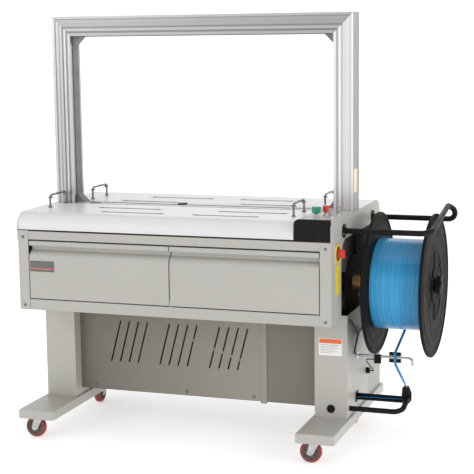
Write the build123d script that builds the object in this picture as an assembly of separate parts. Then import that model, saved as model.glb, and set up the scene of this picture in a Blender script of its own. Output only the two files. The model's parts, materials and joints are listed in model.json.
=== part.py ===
from build123d import *
import math
import os

# Arch strapping machine. +X runs along the table towards the strap reel, -Y is the operator's side,
# +Z is up and Z = 0 is the floor. Everything is built about the machine's own centre line and moved
# by body_centre_x when it is written, so that the origin is under the middle of the whole machine.

# --- table body ---
half_length = 563.0          # centre line to the outer face of each end plate
half_depth = 345.0           # centre line to the front and rear faces
table_top = 809.0
body_bottom = 469.0
sheet = 2.5                  # folded sheet steel
post_width = 38.0            # width of the end posts seen from the front
post_depth = 130.0           # depth of the front posts
rear_post_depth = 90.0
left_post_top = table_top - 60.0   # leaves the covers' lower edges room to swing
end_plate_top = table_top
end_corner_radius = 55.0
window_top = table_top - 74.0  # top of the opening in the right end plate
window_corner = 60.0
side_skirt = 3.0             # outer plate on the left end
side_skirt_bottom = table_top - 94.0
rail_depth = 40.0
rail_setback = 2.0           # rails lie this far behind the front and rear faces
top_rail_bottom = table_top - 92.0
top_rail_top = table_top - 63.0
bottom_rail_top = body_bottom + 37.0
right_post_top = top_rail_top
cross_member_inner = half_length - 93.0
rail_wall = 3.0
deck_thickness = 4.0
deck_top = body_bottom + deck_thickness

# --- front doors ---
door_bottom = bottom_rail_top + 4.0
door_top = top_rail_bottom - 5.0
door_depth = 34.0
door_gap = 4.0               # between the two doors, and beside the posts
door_wall = 2.0
door_hinge_inset = 9.0       # hinge axis behind the front face
door_hinge_rise = 10.0       # hinge axis above the door's lower edge
lip_top = door_top - 62.0
groove_bottom = door_top - 33.0
groove_top = door_top - 16.0
groove_depth = 22.0
pin_radius = 3.0
running_gap = 0.05           # radial clearance of every pin, shaft and plunger in its bore

# --- lift-up table covers ---
cover_gap = 1.0              # between a cover and the plates beside it
cover_split = 44.0           # the covers stop this far in front of and behind the arch plane
cover_skirt = table_top - 57.0  # lower edge of a cover's outer wall
cover_roll = 50.0            # radius of the rolled outer edge
cover_axis_inset = 6.0
cover_axis_z = cover_skirt + cover_axis_inset
cover_pin_radius = 3.5
bed_front = -36.0
bed_rear = 40.0
track_groove = 14.0          # strap track along the bed
handle_height = 44.0
handle_span = 125.0
handle_wire = 3.5
strip_width = 10.0
strip_height = 1.2

# --- control corner ---
control_left = half_length - 126.0
control_top = table_top + 3.0
bezel_top = table_top + 11.0
bezel_bottom = table_top - 61.0
bezel_corner = 18.0
bezel_depth = 10.0
collar_height = 8.0
button_travel = 4.0
button_height = 22.0
dial_height = 24.0
stem_share = 0.45            # stem radius as a share of its cap's radius
controls = {"start_button": (half_length - 87.0, -half_depth + 135.0, 15.0),
            "stop_button": (half_length - 63.0, -half_depth + 167.0, 10.0),
            "tension_knob": (half_length - 27.0, -half_depth + 99.0, 9.0),
            "selector_knob": (half_length - 20.0, -half_depth + 167.0, 8.0)}
switch_y = -half_depth + 77.0
switch_z = table_top - 109.0
switch_size = 60.0
switch_plate_thick = 3.0
switch_spindle = 4.0
switch_knob_radius = 15.0
switch_knob_depth = 22.0

# --- arch ---
arch_width = 70.0            # profile, seen from the front
arch_depth = 80.0
arch_outer = half_length - 3.5  # centre line to a column's outer side
arch_top = table_top + 674.0
arch_wall = 4.0
rib_count = 4
rib_width = 6.0
rib_depth = 2.5
gusset_leg = 32.0
gusset_thick = 40.0
liner_thick = 3.0
liner_width = 44.0

# --- stand ---
leg_x = half_length - 54.0   # centre of a leg and its foot
leg_width = 115.0
wall_x = leg_x + leg_width / 2   # outer side of the right leg
leg_front = -151.0
leg_rear = 150.0
foot_width = 133.0
foot_reach = 361.5
foot_bottom = 77.0
foot_top = 109.5
foot_wall = 3.5
pool_front = -103.0
pool_floor = 133.0
pool_side = half_length + 2.0
slot_width = 5.5
slot_lean = 40.0
slot_bottom = 241.0
slot_top = 392.0
panel_post = 0.536 * (leg_x - leg_width / 2)
panel_post_width = 23.0

# --- casters ---
wheel_radius = 37.5
wheel_width = 24.0
tread_thick = 8.5
trail = 25.0
axle_radius = 4.0
caster_plate = 3.0
caster_plate_x = 76.0
caster_plate_y = 92.0
fork_side = 2.5
fork_gap = 2.0               # wheel side to fork
king_pin_radius = 6.0
front_caster_y = -foot_reach + 49.5
rear_caster_y = 200.0
fork_top = foot_top - foot_wall - caster_plate - 6.0
caster_places = {"front_left": (-leg_x, front_caster_y, 0), "front_right": (leg_x, front_caster_y, 0),
                 "rear_left": (-leg_x, rear_caster_y, 90), "rear_right": (leg_x, rear_caster_y, 90)}

# --- reel ---
reel_y = 12.0
reel_z = table_top - 252.0
flange_radius = 246.0
flange_web = 5.0
flange_rim = 12.0
flange_rim_height = 13.0
flange_inner_x = half_length + 72.0
flange_outer_x = half_length + 266.0
flange_hub_radius = 62.0
coil_radius = 157.5
core_radius = 100.0
core_wall = 4.0
coil_side_gap = 1.5          # wound strap to each flange's web
shaft_radius = 12.0
shaft_start = half_length - 85.0
shaft_end = flange_outer_x + 27.0
brake_disc_radius = 95.0
brake_disc_x = half_length - 19.0
brake_disc_thick = 8.0
bearing_plate_x = half_length - 77.0
bearing_radius = 32.0
bearing_end = half_length - 29.0
lock_knob_radius = 34.0
lock_knob_depth = 20.0

# --- guard tube over the reel ---
guard_radius = 9.5
guard_reach = flange_outer_x + 43.0  # centre line to the outermost side of the guard tube
guard_front_y = -186.0
guard_rear_y = 225.0
guard_z = table_top - 45.0
guard_crest_z = table_top + 3.0
guard_clear = 4.0            # guard tube to the outer flange's rim
guard_flange_radius = 23.0

# --- strap feed hardware on the right leg ---
strap_y = -20.0
strap_width = 9.0
strap_thick = 0.8
guide_z = 304.0
guide_rod_radius = 4.5
guide_x = wall_x + 137.5
guide_rod_end = guide_x + 60.0
roller_spread = 12.0
roller_radius = 8.0
roller_skin = 1.2            # the roller's barrel is this much smaller than its end rims
roller_length = 40.0
cheek_thick = 2.0
corner_x = guide_x + 38.0
corner_z = 172.0
corner_radius = 12.0
channel_bottom = 147.0
channel_top = 166.0
channel_half = 10.0
strap_slot = 12.0            # width of the strap's way into the leg
arm_y = -119.0
arm_z = 139.0
arm_radius = 9.0
lead_radius = 2.2
sensor_x0 = guide_x - 74.0
sensor_x1 = guide_x - 51.0
sensor_half = 7.0
sensor_low = 280.0
lead_z = 292.0
gland_y = 125.0
gland_z = 214.0
gland_radius = 11.0
gland_depth = 12.0
socket_z = 141.0             # cable entry at the bottom of the right leg
socket_radius = 12.0
crank_y = -26.0
crank_z = body_bottom - 85.0
crank_x0 = wall_x + 5.0
crank_thick = 5.0
crank_ends = ((-142.0, crank_z + 67.0), (-83.0, crank_z - 56.0), (36.0, crank_z + 9.0))

# --- strapping mechanism inside the table ---
head_left = -160.0
head_right = 0.0
head_top = table_top - 6.0
feed_x = -70.0
feed_z = table_top - 119.0
feed_radius = 25.0
pinch_radius = 20.0
nip = 0.3
stud_radius = 6.0
motor_radius = 60.0
motor_length = 200.0
head_y = 55.0
tower_y = 30.0
tower_left = -150.0
tower_right = -30.0
base_top = feed_z - 50.0
pinch_x = feed_x - feed_radius - pinch_radius - nip
jaw_opening = (-102.0, -72.0, -6.0, 32.0)
jaw_gap = 3.0                # sealing jaw to the edges of its opening
jaw_top = table_top + 5.0
cabinet_side = cross_member_inner - 20.0
cabinet_width = 170.0
cabinet_depth = 180.0
cabinet_top = deck_top + 217.0

left_reach = half_length + side_skirt
body_centre_x = (left_reach - guard_reach) / 2
right_inner = half_length - sheet
os.makedirs("parts", exist_ok=True)


def save(name, *solids):
    """Write one node: a single solid, or a group of separate ones, in the shared frame."""
    placed = [Pos(body_centre_x, 0, 0) * solid for solid in solids]
    export_step(placed[0] if len(placed) == 1 else Compound(children=placed), f"parts/{name}.step")


def block(x0, x1, y0, y1, z0, z1):
    """Box between two corners."""
    return Pos((x0 + x1) / 2, (y0 + y1) / 2, (z0 + z1) / 2) * Box(x1 - x0, y1 - y0, z1 - z0)


def rod_x(x0, x1, y, z, radius):
    """Round bar along X."""
    return Pos((x0 + x1) / 2, y, z) * Rot(0, 90, 0) * Cylinder(radius, x1 - x0)


def rod_y(x, y0, y1, z, radius):
    """Round bar along Y."""
    return Pos(x, (y0 + y1) / 2, z) * Rot(90, 0, 0) * Cylinder(radius, y1 - y0)


def rod_z(x, y, z0, z1, radius):
    """Round bar along Z."""
    return Pos(x, y, (z0 + z1) / 2) * Cylinder(radius, z1 - z0)


def side_plate(x0, x1, outline):
    """Plate standing across X, from a Y-Z outline drawn on the XY plane."""
    return Pos(x0, 0, 0) * (Plane.YZ * extrude(outline, x1 - x0))


def swap_side(solid):
    """The same piece on the other end of the machine."""
    return mirror(solid, about=Plane.YZ)


def swap_front(solid):
    """The same piece on the other side of the arch plane."""
    return mirror(solid, about=Plane.XZ)


def tube(points, radii, radius):
    """Round tube along straight runs joined by tangent arcs."""
    path = FilletPolyline(*points, radius=radii)
    section = Plane(origin=path @ 0, z_dir=path % 0) * Circle(radius)
    return sweep(section, path=path)


# --- end plates ---
def plate_outline(z0, front_corner):
    """Y-Z outline of an end plate from z0 to the table top, with rounded upper corners."""
    shape = Pos(0, (z0 + end_plate_top) / 2) * Rectangle(2 * half_depth, end_plate_top - z0)
    shape = fillet(shape.vertices().group_by(Axis.Y)[-1].sort_by(Axis.X)[0], front_corner)
    return fillet(shape.vertices().group_by(Axis.Y)[-1].sort_by(Axis.X)[-1], end_corner_radius)


def post(y0, y1, top):
    """Hollow sheet post, open towards the middle of the machine."""
    x0 = half_length - post_width
    outer = block(x0, half_length, y0, y1, body_bottom, top)
    return outer - block(x0 - 1, right_inner, y0 + sheet, y1 - sheet, body_bottom + sheet, top - sheet)


def right_end_plate():
    """Sheet with a window for the reel's brake, two hollow posts and a return along the window's top."""
    inner = half_length - post_width
    window_front = -half_depth + post_depth
    window_rear = half_depth - rear_post_depth
    sheet_face = side_plate(right_inner, half_length, plate_outline(body_bottom, bezel_corner))
    cut = Pos((window_front + window_rear) / 2, (body_bottom - 1 + window_top) / 2) * Rectangle(
        window_rear - window_front, window_top - body_bottom + 1)
    cut = fillet(cut.vertices().group_by(Axis.Y)[-1], window_corner)
    sheet_face -= side_plate(right_inner - 1, half_length + 1, cut)
    front = post(-half_depth, window_front, right_post_top)
    rear = post(window_rear, half_depth, right_post_top)
    lintel = block(inner, half_length, window_front, window_rear, window_top, window_top + sheet)
    return sheet_face + front + rear + lintel


def left_end_plate():
    """Hollow posts, a lower sheet and an outer skirt plate that rises beside the covers."""
    lower = block(right_inner, half_length, -half_depth, half_depth, body_bottom, left_post_top)
    front = post(-half_depth, -half_depth + post_depth, left_post_top)
    rear = post(half_depth - rear_post_depth, half_depth, left_post_top)
    skirt = side_plate(half_length, left_reach, plate_outline(side_skirt_bottom, end_corner_radius))
    return swap_side(lower + front + rear + skirt)


# --- welded table frame ---
def frame_rail(z0, z1):
    """Channel along X at the front, open to the inside."""
    end = half_length - post_width
    y0 = -half_depth + rail_setback
    y1 = y0 + rail_depth
    outer = block(-end, end, y0, y1, z0, z1)
    return outer - block(-end - 1, end + 1, y0 + rail_wall, y1 + 1, z0 + rail_wall, z1 - rail_wall)


def frame_cross(z0, z1):
    """Channel along Y at the right end, open to the inside."""
    end = half_length - post_width
    y1 = half_depth - rail_setback - rail_depth
    outer = block(cross_member_inner, end, -y1, y1, z0, z1)
    return outer - block(cross_member_inner - 1, end - rail_wall, -y1 - 1, y1 + 1, z0 + rail_wall, z1 - rail_wall)


def table_frame():
    """Two rails and two cross members at each level, tied by an upright at each corner."""
    frame = None
    rail_inner = half_depth - rail_setback - rail_depth
    for z0, z1 in ((body_bottom, bottom_rail_top), (top_rail_bottom, top_rail_top)):
        rail = frame_rail(z0, z1)
        cross = frame_cross(z0, z1)
        level = rail + swap_front(rail) + cross + swap_side(cross)
        frame = level if frame is None else frame + level
    end = half_length - post_width
    upright = block(end - rail_depth, end, -rail_inner - rail_wall, -rail_inner, body_bottom, top_rail_top)
    uprights = upright + swap_side(upright)
    frame = frame + uprights + swap_front(uprights)
    ear = block(-door_gap / 2 + 0.5, door_gap / 2 - 0.5, -half_depth + rail_setback, -half_depth + door_depth,
                bottom_rail_top - rail_wall, door_bottom + 2 * door_hinge_rise)
    ear -= rod_x(-door_gap, door_gap, door_axis_y, door_axis_z, pin_radius)
    return frame + ear


door_axis_y = -half_depth + door_hinge_inset
door_axis_z = door_bottom + door_hinge_rise
cover_axis_y = -half_depth + cover_axis_inset
save("right_end_plate", right_end_plate())
save("left_end_plate", left_end_plate())
save("table_frame", table_frame())
rail_inner_y = half_depth - rail_setback - rail_depth
save("drive_deck", block(-cross_member_inner, cross_member_inner, -rail_inner_y, rail_inner_y, body_bottom, deck_top))
panel_lap = 10.0
rear_end = half_length - post_width
save("rear_panel", block(-rear_end, rear_end, half_depth - rail_setback, half_depth,
                         bottom_rail_top - panel_lap, top_rail_bottom + panel_lap))


# --- hinge pins ---
def hinge_pins():
    """One long rod for both doors and one for each table cover."""
    doors = rod_x(-right_inner, right_inner, door_axis_y, door_axis_z, pin_radius)
    front = rod_x(-half_length, control_left, cover_axis_y, cover_axis_z, cover_pin_radius)
    rear = rod_x(-half_length, right_inner, -cover_axis_y, cover_axis_z, cover_pin_radius)
    return doors, front, rear


save("hinge_pins", *hinge_pins())


# --- front doors ---
def door(x0, x1):
    """Folded tray with a finger groove that its lower part curls back into, hinged along its lower edge."""
    face = -half_depth
    back = face + door_depth
    with BuildSketch() as section:
        with BuildLine():
            Polyline((back, door_bottom), (face, door_bottom), (face, lip_top))
            TangentArc((face, lip_top), (face + groove_depth, groove_bottom), tangent=(0, 1))
            Polyline((face + groove_depth, groove_bottom), (face + groove_depth, groove_top), (face, groove_top),
                     (face, door_top), (back, door_top), (back, door_bottom))
        make_face()
    outer = section.sketch
    inner = offset(outer, amount=-door_wall, kind=Kind.INTERSECTION)
    tray = side_plate(x0, x1, outer) - side_plate(x0 + door_wall, x1 - door_wall, inner)
    tray -= block(x0 + door_wall, x1 - door_wall, back - 2 * door_wall, back + 1,
                  door_bottom + door_wall, door_top - door_wall)
    return tray - rod_x(x0 - 1, x1 + 1, door_axis_y, door_axis_z, pin_radius + running_gap)


door_end = half_length - post_width - door_gap + 1
save("front_door_left", door(-door_end, -door_gap / 2))
save("front_door_right", door(door_gap / 2, door_end))


# --- table covers ---
def cover(x0, x1):
    """Folded front cover: top sheet, rolled outer edge, outer wall and end walls, on the hinge rod."""
    outer = block(x0, x1, -half_depth, -cover_split, cover_skirt, table_top)
    rolled = outer.edges().filter_by(Axis.X).sort_by(Axis.Y)[:2].sort_by(Axis.Z)[-1]
    outer = fillet(rolled, cover_roll)
    inner = block(x0 + sheet, x1 - sheet, -half_depth + sheet, -cover_split + 1, cover_skirt - 1, table_top - sheet)
    rolled = inner.edges().filter_by(Axis.X).sort_by(Axis.Y)[:2].sort_by(Axis.Z)[-1]
    inner = fillet(rolled, cover_roll - sheet)
    return outer - inner - rod_x(x0 - 1, x1 + 1, cover_axis_y, cover_axis_z, cover_pin_radius + running_gap)


cover_left = -half_length + cover_gap
save("front_table_cover", cover(cover_left, control_left - cover_gap))
save("rear_table_cover", swap_front(cover(cover_left, right_inner - cover_gap)))


def wire_handle(x, y):
    """U-shaped wire handle standing on the table, its grip along Y from y."""
    radius = 3 * handle_wire
    base = table_top
    points = [(x, y, base), (x, y, base + handle_height), (x, y + handle_span, base + handle_height),
              (x, y + handle_span, base)]
    return tube(points, [radius, radius], handle_wire)


def wear_strip(x0, x1, y):
    """Slim steel runner that boxes slide on; its place is given as shares of the table's half sizes."""
    middle = y * half_depth
    return block(x0 * half_length, x1 * half_length, middle - strip_width / 2, middle + strip_width / 2,
                 table_top, table_top + strip_height)


front_strips = [wear_strip(-0.600, -0.194, -0.42), wear_strip(0.201, 0.622, -0.42),
                wear_strip(-0.497, -0.107, -0.725), wear_strip(0.101, 0.504, -0.725)]
rear_strips = [wear_strip(-0.604, -0.227, 0.18), wear_strip(0.217, 0.558, 0.18),
               wear_strip(-0.485, -0.062, 0.54), wear_strip(0.142, 0.490, 0.54)]
front_handle_left = (-half_length + 46.0, -0.528 * half_depth)
front_handle_right = (control_left - 39.0, -0.614 * half_depth)
rear_handle_left = (-half_length + 93.0, 0.217 * half_depth)
rear_handle_right = (half_length - 131.0, 0.180 * half_depth)
save("front_cover_fittings", wire_handle(*front_handle_left), wire_handle(*front_handle_right), *front_strips)
save("rear_cover_fittings", wire_handle(*rear_handle_left), wire_handle(*rear_handle_right), *rear_strips)


def track_bed():
    """Fixed strip under the arch, on skirts that stand on the frame, with the sealing head's opening."""
    end = arch_outer - arch_width - liner_thick
    bed = block(-end, end, bed_front, bed_rear, top_rail_top, table_top)
    bed -= block(-end + sheet, end - sheet, bed_front + sheet, bed_rear - sheet, top_rail_top - 1, table_top - 3)
    bed -= block(*jaw_opening, top_rail_top, table_top + 1)
    bed -= block(-end - 1, end + 1, -track_groove / 2, track_groove / 2, table_top - 1.5, table_top + 1)
    return bed


save("track_bed", track_bed())


# --- control corner ---
control_front = -half_depth + bezel_depth


def control_housing():
    """Open-bottomed box at the right front corner, bored for the controls' stems."""
    shell = block(control_left, right_inner, control_front, -cover_split, top_rail_top, control_top)
    shell -= block(control_left + sheet, right_inner - sheet, control_front + sheet, -cover_split - sheet,
                   top_rail_top - 1, control_top - sheet)
    for x, y, radius in controls.values():
        shell -= rod_z(x, y, control_top - 2 * sheet, control_top + 1, radius * stem_share + running_gap)
    return shell


def control_bezel():
    """Black front of the control box with a rounded upper left corner."""
    bezel = block(control_left, right_inner - cover_gap, -half_depth, control_front, bezel_bottom, bezel_top)
    corner = bezel.edges().filter_by(Axis.Y).group_by(Axis.X)[0].sort_by(Axis.Z)[-1]
    return fillet(corner, bezel_corner)


def collar(x, y, radius):
    """Ring that a button or knob stands in."""
    ring = rod_z(x, y, control_top, control_top + collar_height, radius * stem_share + 4)
    return ring - rod_z(x, y, control_top - 1, bezel_top + 1, radius * stem_share + running_gap)


def push_button(x, y, radius):
    """Cap on a stem, standing clear of its collar by its travel."""
    rise = control_top + collar_height + button_travel + running_gap * 6
    cap = rod_z(x, y, rise, rise + button_height, radius)
    cap = fillet(cap.edges().sort_by(Axis.Z)[-1], radius * 0.2)
    return cap + rod_z(x, y, control_top - 22, rise, radius * stem_share)


def dial(x, y, radius):
    """Round knob with a pointer ridge, on a stem."""
    rise = control_top + collar_height + running_gap * 6
    knob = rod_z(x, y, rise, rise + dial_height, radius)
    ridge = block(x - 1.5, x + 1.5, y - radius, y + radius, rise + dial_height, rise + dial_height + 2)
    return knob + ridge + rod_z(x, y, control_top - 22, rise, radius * stem_share)


save("control_housing", control_housing())
save("control_bezel", control_bezel(), *[collar(*place) for place in controls.values()])
for control, place in controls.items():
    save(control, push_button(*place) if "button" in control else dial(*place))


def main_switch():
    """Square plate with a spindle, and the rotary handle on it."""
    face = half_length + switch_plate_thick
    half = switch_size / 2
    plate = block(half_length, face, switch_y - half, switch_y + half, switch_z - half, switch_z + half)
    plate += rod_x(face, face + 12, switch_y, switch_z, switch_spindle)
    start = face + 0.3
    knob = rod_x(start, start + 8, switch_y, switch_z, switch_knob_radius)
    knob += block(start + 8, start + switch_knob_depth, switch_y - 4, switch_y + 4,
                  switch_z - switch_knob_radius + 1, switch_z + switch_knob_radius - 1)
    knob -= rod_x(start - 1, face + 12.3, switch_y, switch_z, switch_spindle + running_gap)
    return plate, knob


switch_plate, switch_knob = main_switch()
save("main_switch_plate", switch_plate)
save("main_switch_knob", switch_knob)


# --- arch ---
def arch_section():
    """Hollow aluminium profile with ribbed front and rear faces."""
    section = Rectangle(arch_width, arch_depth) - Rectangle(arch_width - 2 * (arch_wall + rib_depth),
                                                            arch_depth - 2 * (arch_wall + rib_depth))
    pitch = arch_width / (rib_count + 1)
    for index in range(rib_count):
        x = -arch_width / 2 + pitch * (index + 1)
        for side in (-1, 1):
            section -= Pos(x, side * (arch_depth - rib_depth) / 2) * Rectangle(rib_width, rib_depth)
    for side in (-1, 1):
        for y in (-arch_depth / 4, arch_depth / 4):
            section -= Pos(side * (arch_width - rib_depth) / 2, y) * Rectangle(rib_depth, rib_width)
    return section


def mitre_block(x, lean, side):
    """Block on one side of a 45 degree mitre line: side 1 lies towards the column, -1 towards the beam."""
    size = 4 * arch_width
    turned = Pos(x, 0, arch_top - arch_width) * Rot(0, lean * 45, 0)
    return turned * Pos(side * lean * size / 2, 0, 0) * Box(size, 2 * arch_depth, 2 * size)


def arch():
    """Column at the right and the beam, mitred at the upper corners."""
    inner = arch_outer - arch_width
    centre = arch_outer - arch_width / 2
    upright = extrude(Pos(centre, 0, top_rail_top) * arch_section(), arch_top - top_rail_top)
    upright -= mitre_block(inner, 1, -1)
    profile = Plane.YZ * Rot(0, 0, 90) * arch_section()
    across = Pos(-arch_outer, 0, arch_top - arch_width / 2) * extrude(profile, 2 * arch_outer)
    return upright, across - mitre_block(inner, 1, 1) - mitre_block(-inner, -1, 1)


column, beam = arch()
save("arch_columns", column, swap_side(column))
save("arch_top_beam", beam)


def gusset(x, z, up):
    """Triangular corner block against the right column."""
    with BuildSketch(Plane.XZ) as triangle:
        Polygon((x, z), (x - gusset_leg, z), (x, z + up * gusset_leg), align=None)
    return extrude(triangle.sketch, gusset_thick / 2, both=True)


liner_face = arch_outer - arch_width - liner_thick
upper = gusset(liner_face, arch_top - arch_width - liner_thick, -1)
lower = gusset(liner_face, table_top, 1)
save("arch_gussets", upper, swap_side(upper), lower, swap_side(lower))


def track_liners():
    """Dark strap track on the inside of both columns and the beam."""
    inner = arch_outer - arch_width
    under = arch_top - arch_width
    side = block(inner - liner_thick, inner, -liner_width / 2, liner_width / 2, table_top, under)
    top = block(-inner + liner_thick, inner - liner_thick, -liner_width / 2, liner_width / 2,
                under - liner_thick, under)
    return side, swap_side(side), top


save("arch_track_liners", *track_liners())


# --- stand ---
def foot():
    """Inverted channel with closed ends under the right leg."""
    x0 = leg_x - foot_width / 2
    x1 = leg_x + foot_width / 2
    beam_outer = block(x0, x1, -foot_reach, foot_reach, foot_bottom, foot_top)
    top_edges = beam_outer.edges().group_by(Axis.Z)[-1]
    beam_outer = fillet(top_edges, 3)
    return beam_outer - block(x0 + foot_wall, x1 - foot_wall, -foot_reach + foot_wall, foot_reach - foot_wall,
                              foot_bottom - 1, foot_top - foot_wall)


def leg():
    """Hollow sheet column between the foot and the body."""
    x0 = leg_x - leg_width / 2
    x1 = leg_x + leg_width / 2
    outer = block(x0, x1, leg_front, leg_rear, foot_top, body_bottom)
    return outer - block(x0 + sheet, x1 - sheet, leg_front + sheet, leg_rear - sheet, foot_top - 1, body_bottom + 1)


right_leg = leg() - rod_y(leg_x, leg_front - 1, leg_front + 2 * sheet, socket_z, socket_radius)
right_leg -= block(leg_x, leg_x + leg_width, strap_y - strap_slot / 2, strap_y + strap_slot / 2,
                   channel_bottom + 1.5, channel_top - 1)
save("foot_beams", foot(), swap_side(foot()))
save("leg_columns", right_leg, swap_side(leg()))


def pool_shell():
    """Tray behind and between the legs that takes the slack strap: floor, rear wall and two side walls."""
    inner = leg_x - leg_width / 2
    floor = block(-inner, inner, pool_front + rail_setback, half_depth, pool_floor, pool_floor + sheet)
    floor += block(-pool_side, pool_side, leg_rear, half_depth, pool_floor, pool_floor + sheet)
    rear = block(-pool_side, pool_side, half_depth - sheet, half_depth, pool_floor, body_bottom)
    side = block(pool_side - sheet, pool_side, leg_rear, half_depth, foot_top, body_bottom)
    return floor + rear + side + swap_side(side)


def slot(x, z0, z1):
    """Slanted vent slot from z0 to z1 whose full line starts at x at the slots' top."""
    lean = slot_lean / (slot_top - slot_bottom)
    low = x - lean * (slot_top - z0)
    high = x - lean * (slot_top - z1)
    angle = math.degrees(math.atan(lean))
    length = math.hypot(high - low, z1 - z0)
    bar = Pos((low + high) / 2, pool_front, (z0 + z1) / 2) * Rot(0, angle, 0)
    return bar * Box(slot_width, 6 * sheet, length)


def slotted_panel():
    """Vented front panel: three groups of slanted slots, the last ones split along a falling line."""
    inner = leg_x - leg_width / 2
    panel = block(-inner, panel_post, pool_front, pool_front + rail_setback, pool_floor, body_bottom)
    breaks = {7: 338.0, 8: 309.0, 9: 300.0, 10: 290.0, 11: 278.0}
    for index in range(12):
        x = inner * (-0.642 + 0.421 * (index // 4) + 0.0775 * (index % 4))
        if index in breaks:
            panel -= slot(x, slot_bottom, breaks[index] - 5)
            panel -= slot(x, breaks[index] + 5, slot_top)
        else:
            panel -= slot(x, slot_bottom, slot_top)
    return panel


def plain_panel():
    """Post strip and the plain access panel beside it."""
    inner = leg_x - leg_width / 2
    post_end = panel_post + panel_post_width
    strip = block(panel_post, post_end, pool_front - 3, pool_front + rail_setback, pool_floor - 6, body_bottom)
    return strip, block(post_end, inner, pool_front, pool_front + rail_setback, pool_floor, body_bottom)


save("pool_shell", pool_shell())
save("pool_panels", slotted_panel(), *plain_panel())


# --- casters ---
def caster_mount(x, y):
    """Fixed plate with the king pin under a foot."""
    top = foot_top - foot_wall
    plate_under = top - caster_plate
    plate = block(x - caster_plate_x / 2, x + caster_plate_x / 2, y - caster_plate_y / 2, y + caster_plate_y / 2,
                  plate_under, top)
    return plate + rod_z(x, y, fork_top + 0.3, plate_under, 20) + rod_z(x, y, fork_top - 8, plate_under, king_pin_radius)


def caster_fork():
    """Fork with its axle, about the king pin and trailing towards -X."""
    inside = wheel_width / 2 + fork_gap
    with BuildSketch(Plane.XZ) as cheek:
        with BuildLine():
            Polyline((-20, fork_top), (20, fork_top), (-trail + 11, wheel_radius - 6), (-trail, wheel_radius - 12),
                     (-trail - 11, wheel_radius - 6), (-20, fork_top))
        make_face()
    side = Pos(0, -inside, 0) * extrude(cheek.sketch, fork_side)
    crown = rod_z(0, 0, fork_top - 3, fork_top, 24) - rod_z(0, 0, fork_top - 4, fork_top + 1, king_pin_radius + running_gap)
    axle = rod_y(-trail, -inside - fork_side - 2, inside + fork_side + 2, wheel_radius, axle_radius)
    return crown + side + swap_front(side) - axle, axle


def caster_wheel():
    """Tread and hub on the axle of a caster that trails towards -X."""
    half = wheel_width / 2
    hub_radius = wheel_radius - tread_thick
    tread = rod_y(-trail, -half, half, wheel_radius, wheel_radius)
    tread = fillet(tread.edges(), 4) - rod_y(-trail, -half - 1, half + 1, wheel_radius, hub_radius)
    hub = rod_y(-trail, -half, half, wheel_radius, hub_radius)
    return tread, hub - rod_y(-trail, -half - 1, half + 1, wheel_radius, axle_radius + running_gap)


for place, (x, y, heading) in caster_places.items():
    placing = Pos(x, y, 0) * Rot(0, 0, heading)
    save(f"caster_fork_{place}", *[placing * solid for solid in caster_fork()])
    save(f"caster_wheel_{place}", *[placing * solid for solid in caster_wheel()])
save("caster_mounts", *[caster_mount(x, y) for x, y, heading in caster_places.values()])


# --- reel ---
def reel_ring(x0, x1, outer, inner):
    """Ring about the reel's axis."""
    return rod_x(x0, x1, reel_y, reel_z, outer) - rod_x(x0 - 1, x1 + 1, reel_y, reel_z, inner)


def flange(x):
    """Moulded reel flange: thin web, thick rim and a hub boss on the shaft."""
    rim = flange_rim / 2
    disc = reel_ring(x - flange_web / 2, x + flange_web / 2, flange_radius - 1, shaft_radius)
    disc += reel_ring(x - rim, x + rim, flange_radius, flange_radius - flange_rim_height)
    disc += reel_ring(x - rim, x + rim, flange_hub_radius, shaft_radius)
    return disc


def strap_coil():
    """Core tube, and the strap wound on it."""
    web = flange_web / 2
    side = web + coil_side_gap
    core = reel_ring(flange_inner_x + web, flange_outer_x - web, core_radius, core_radius - core_wall)
    coil = reel_ring(flange_inner_x + side, flange_outer_x - side, coil_radius, core_radius)
    return core, coil


def lock_knob():
    """Lobed nut that clamps the outer flange."""
    x0 = flange_outer_x + flange_rim / 2
    knob = rod_x(x0, x0 + 8, reel_y, reel_z, lock_knob_radius * 0.6)
    for index in range(3):
        angle = math.radians(90 + 120 * index)
        lobe_y = reel_y + lock_knob_radius * 0.55 * math.cos(angle)
        lobe_z = reel_z + lock_knob_radius * 0.55 * math.sin(angle)
        knob += rod_x(x0 + 4, x0 + lock_knob_depth, lobe_y, lobe_z, lock_knob_radius * 0.45)
    knob += rod_x(x0, x0 + lock_knob_depth + 2, reel_y, reel_z, lock_knob_radius * 0.5)
    return knob - rod_x(x0 - 1, shaft_end + 0.5, reel_y, reel_z, shaft_radius + running_gap)


def bearing_block():
    """Plate between the frame's cross members with a bored boss for the reel shaft."""
    plate = block(bearing_plate_x, bearing_plate_x + 4, reel_y - 110, reel_y + 110, bottom_rail_top, top_rail_bottom)
    boss = rod_x(bearing_plate_x, bearing_end, reel_y, reel_z, bearing_radius)
    foot_pad = block(bearing_plate_x, bearing_plate_x + 30, reel_y - 110, reel_y + 110,
                     bottom_rail_top, bottom_rail_top + 5)
    bore = rod_x(bearing_plate_x - 1, bearing_end + 1, reel_y, reel_z, shaft_radius + running_gap)
    return plate + boss + foot_pad - bore


shaft = rod_x(shaft_start, shaft_end, reel_y, reel_z, shaft_radius)
disc_half = brake_disc_thick / 2
disc = reel_ring(brake_disc_x - disc_half, brake_disc_x + disc_half, brake_disc_radius, shaft_radius)
disc += reel_ring(brake_disc_x + disc_half, flange_inner_x - flange_rim / 2, 2 * shaft_radius, shaft_radius)
save("reel_shaft", shaft, disc)
save("bearing_block", bearing_block())
save("reel_inner_flange", flange(flange_inner_x))
save("reel_outer_flange", flange(flange_outer_x))
save("strap_coil", *strap_coil())
save("reel_lock_knob", lock_knob())


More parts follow.
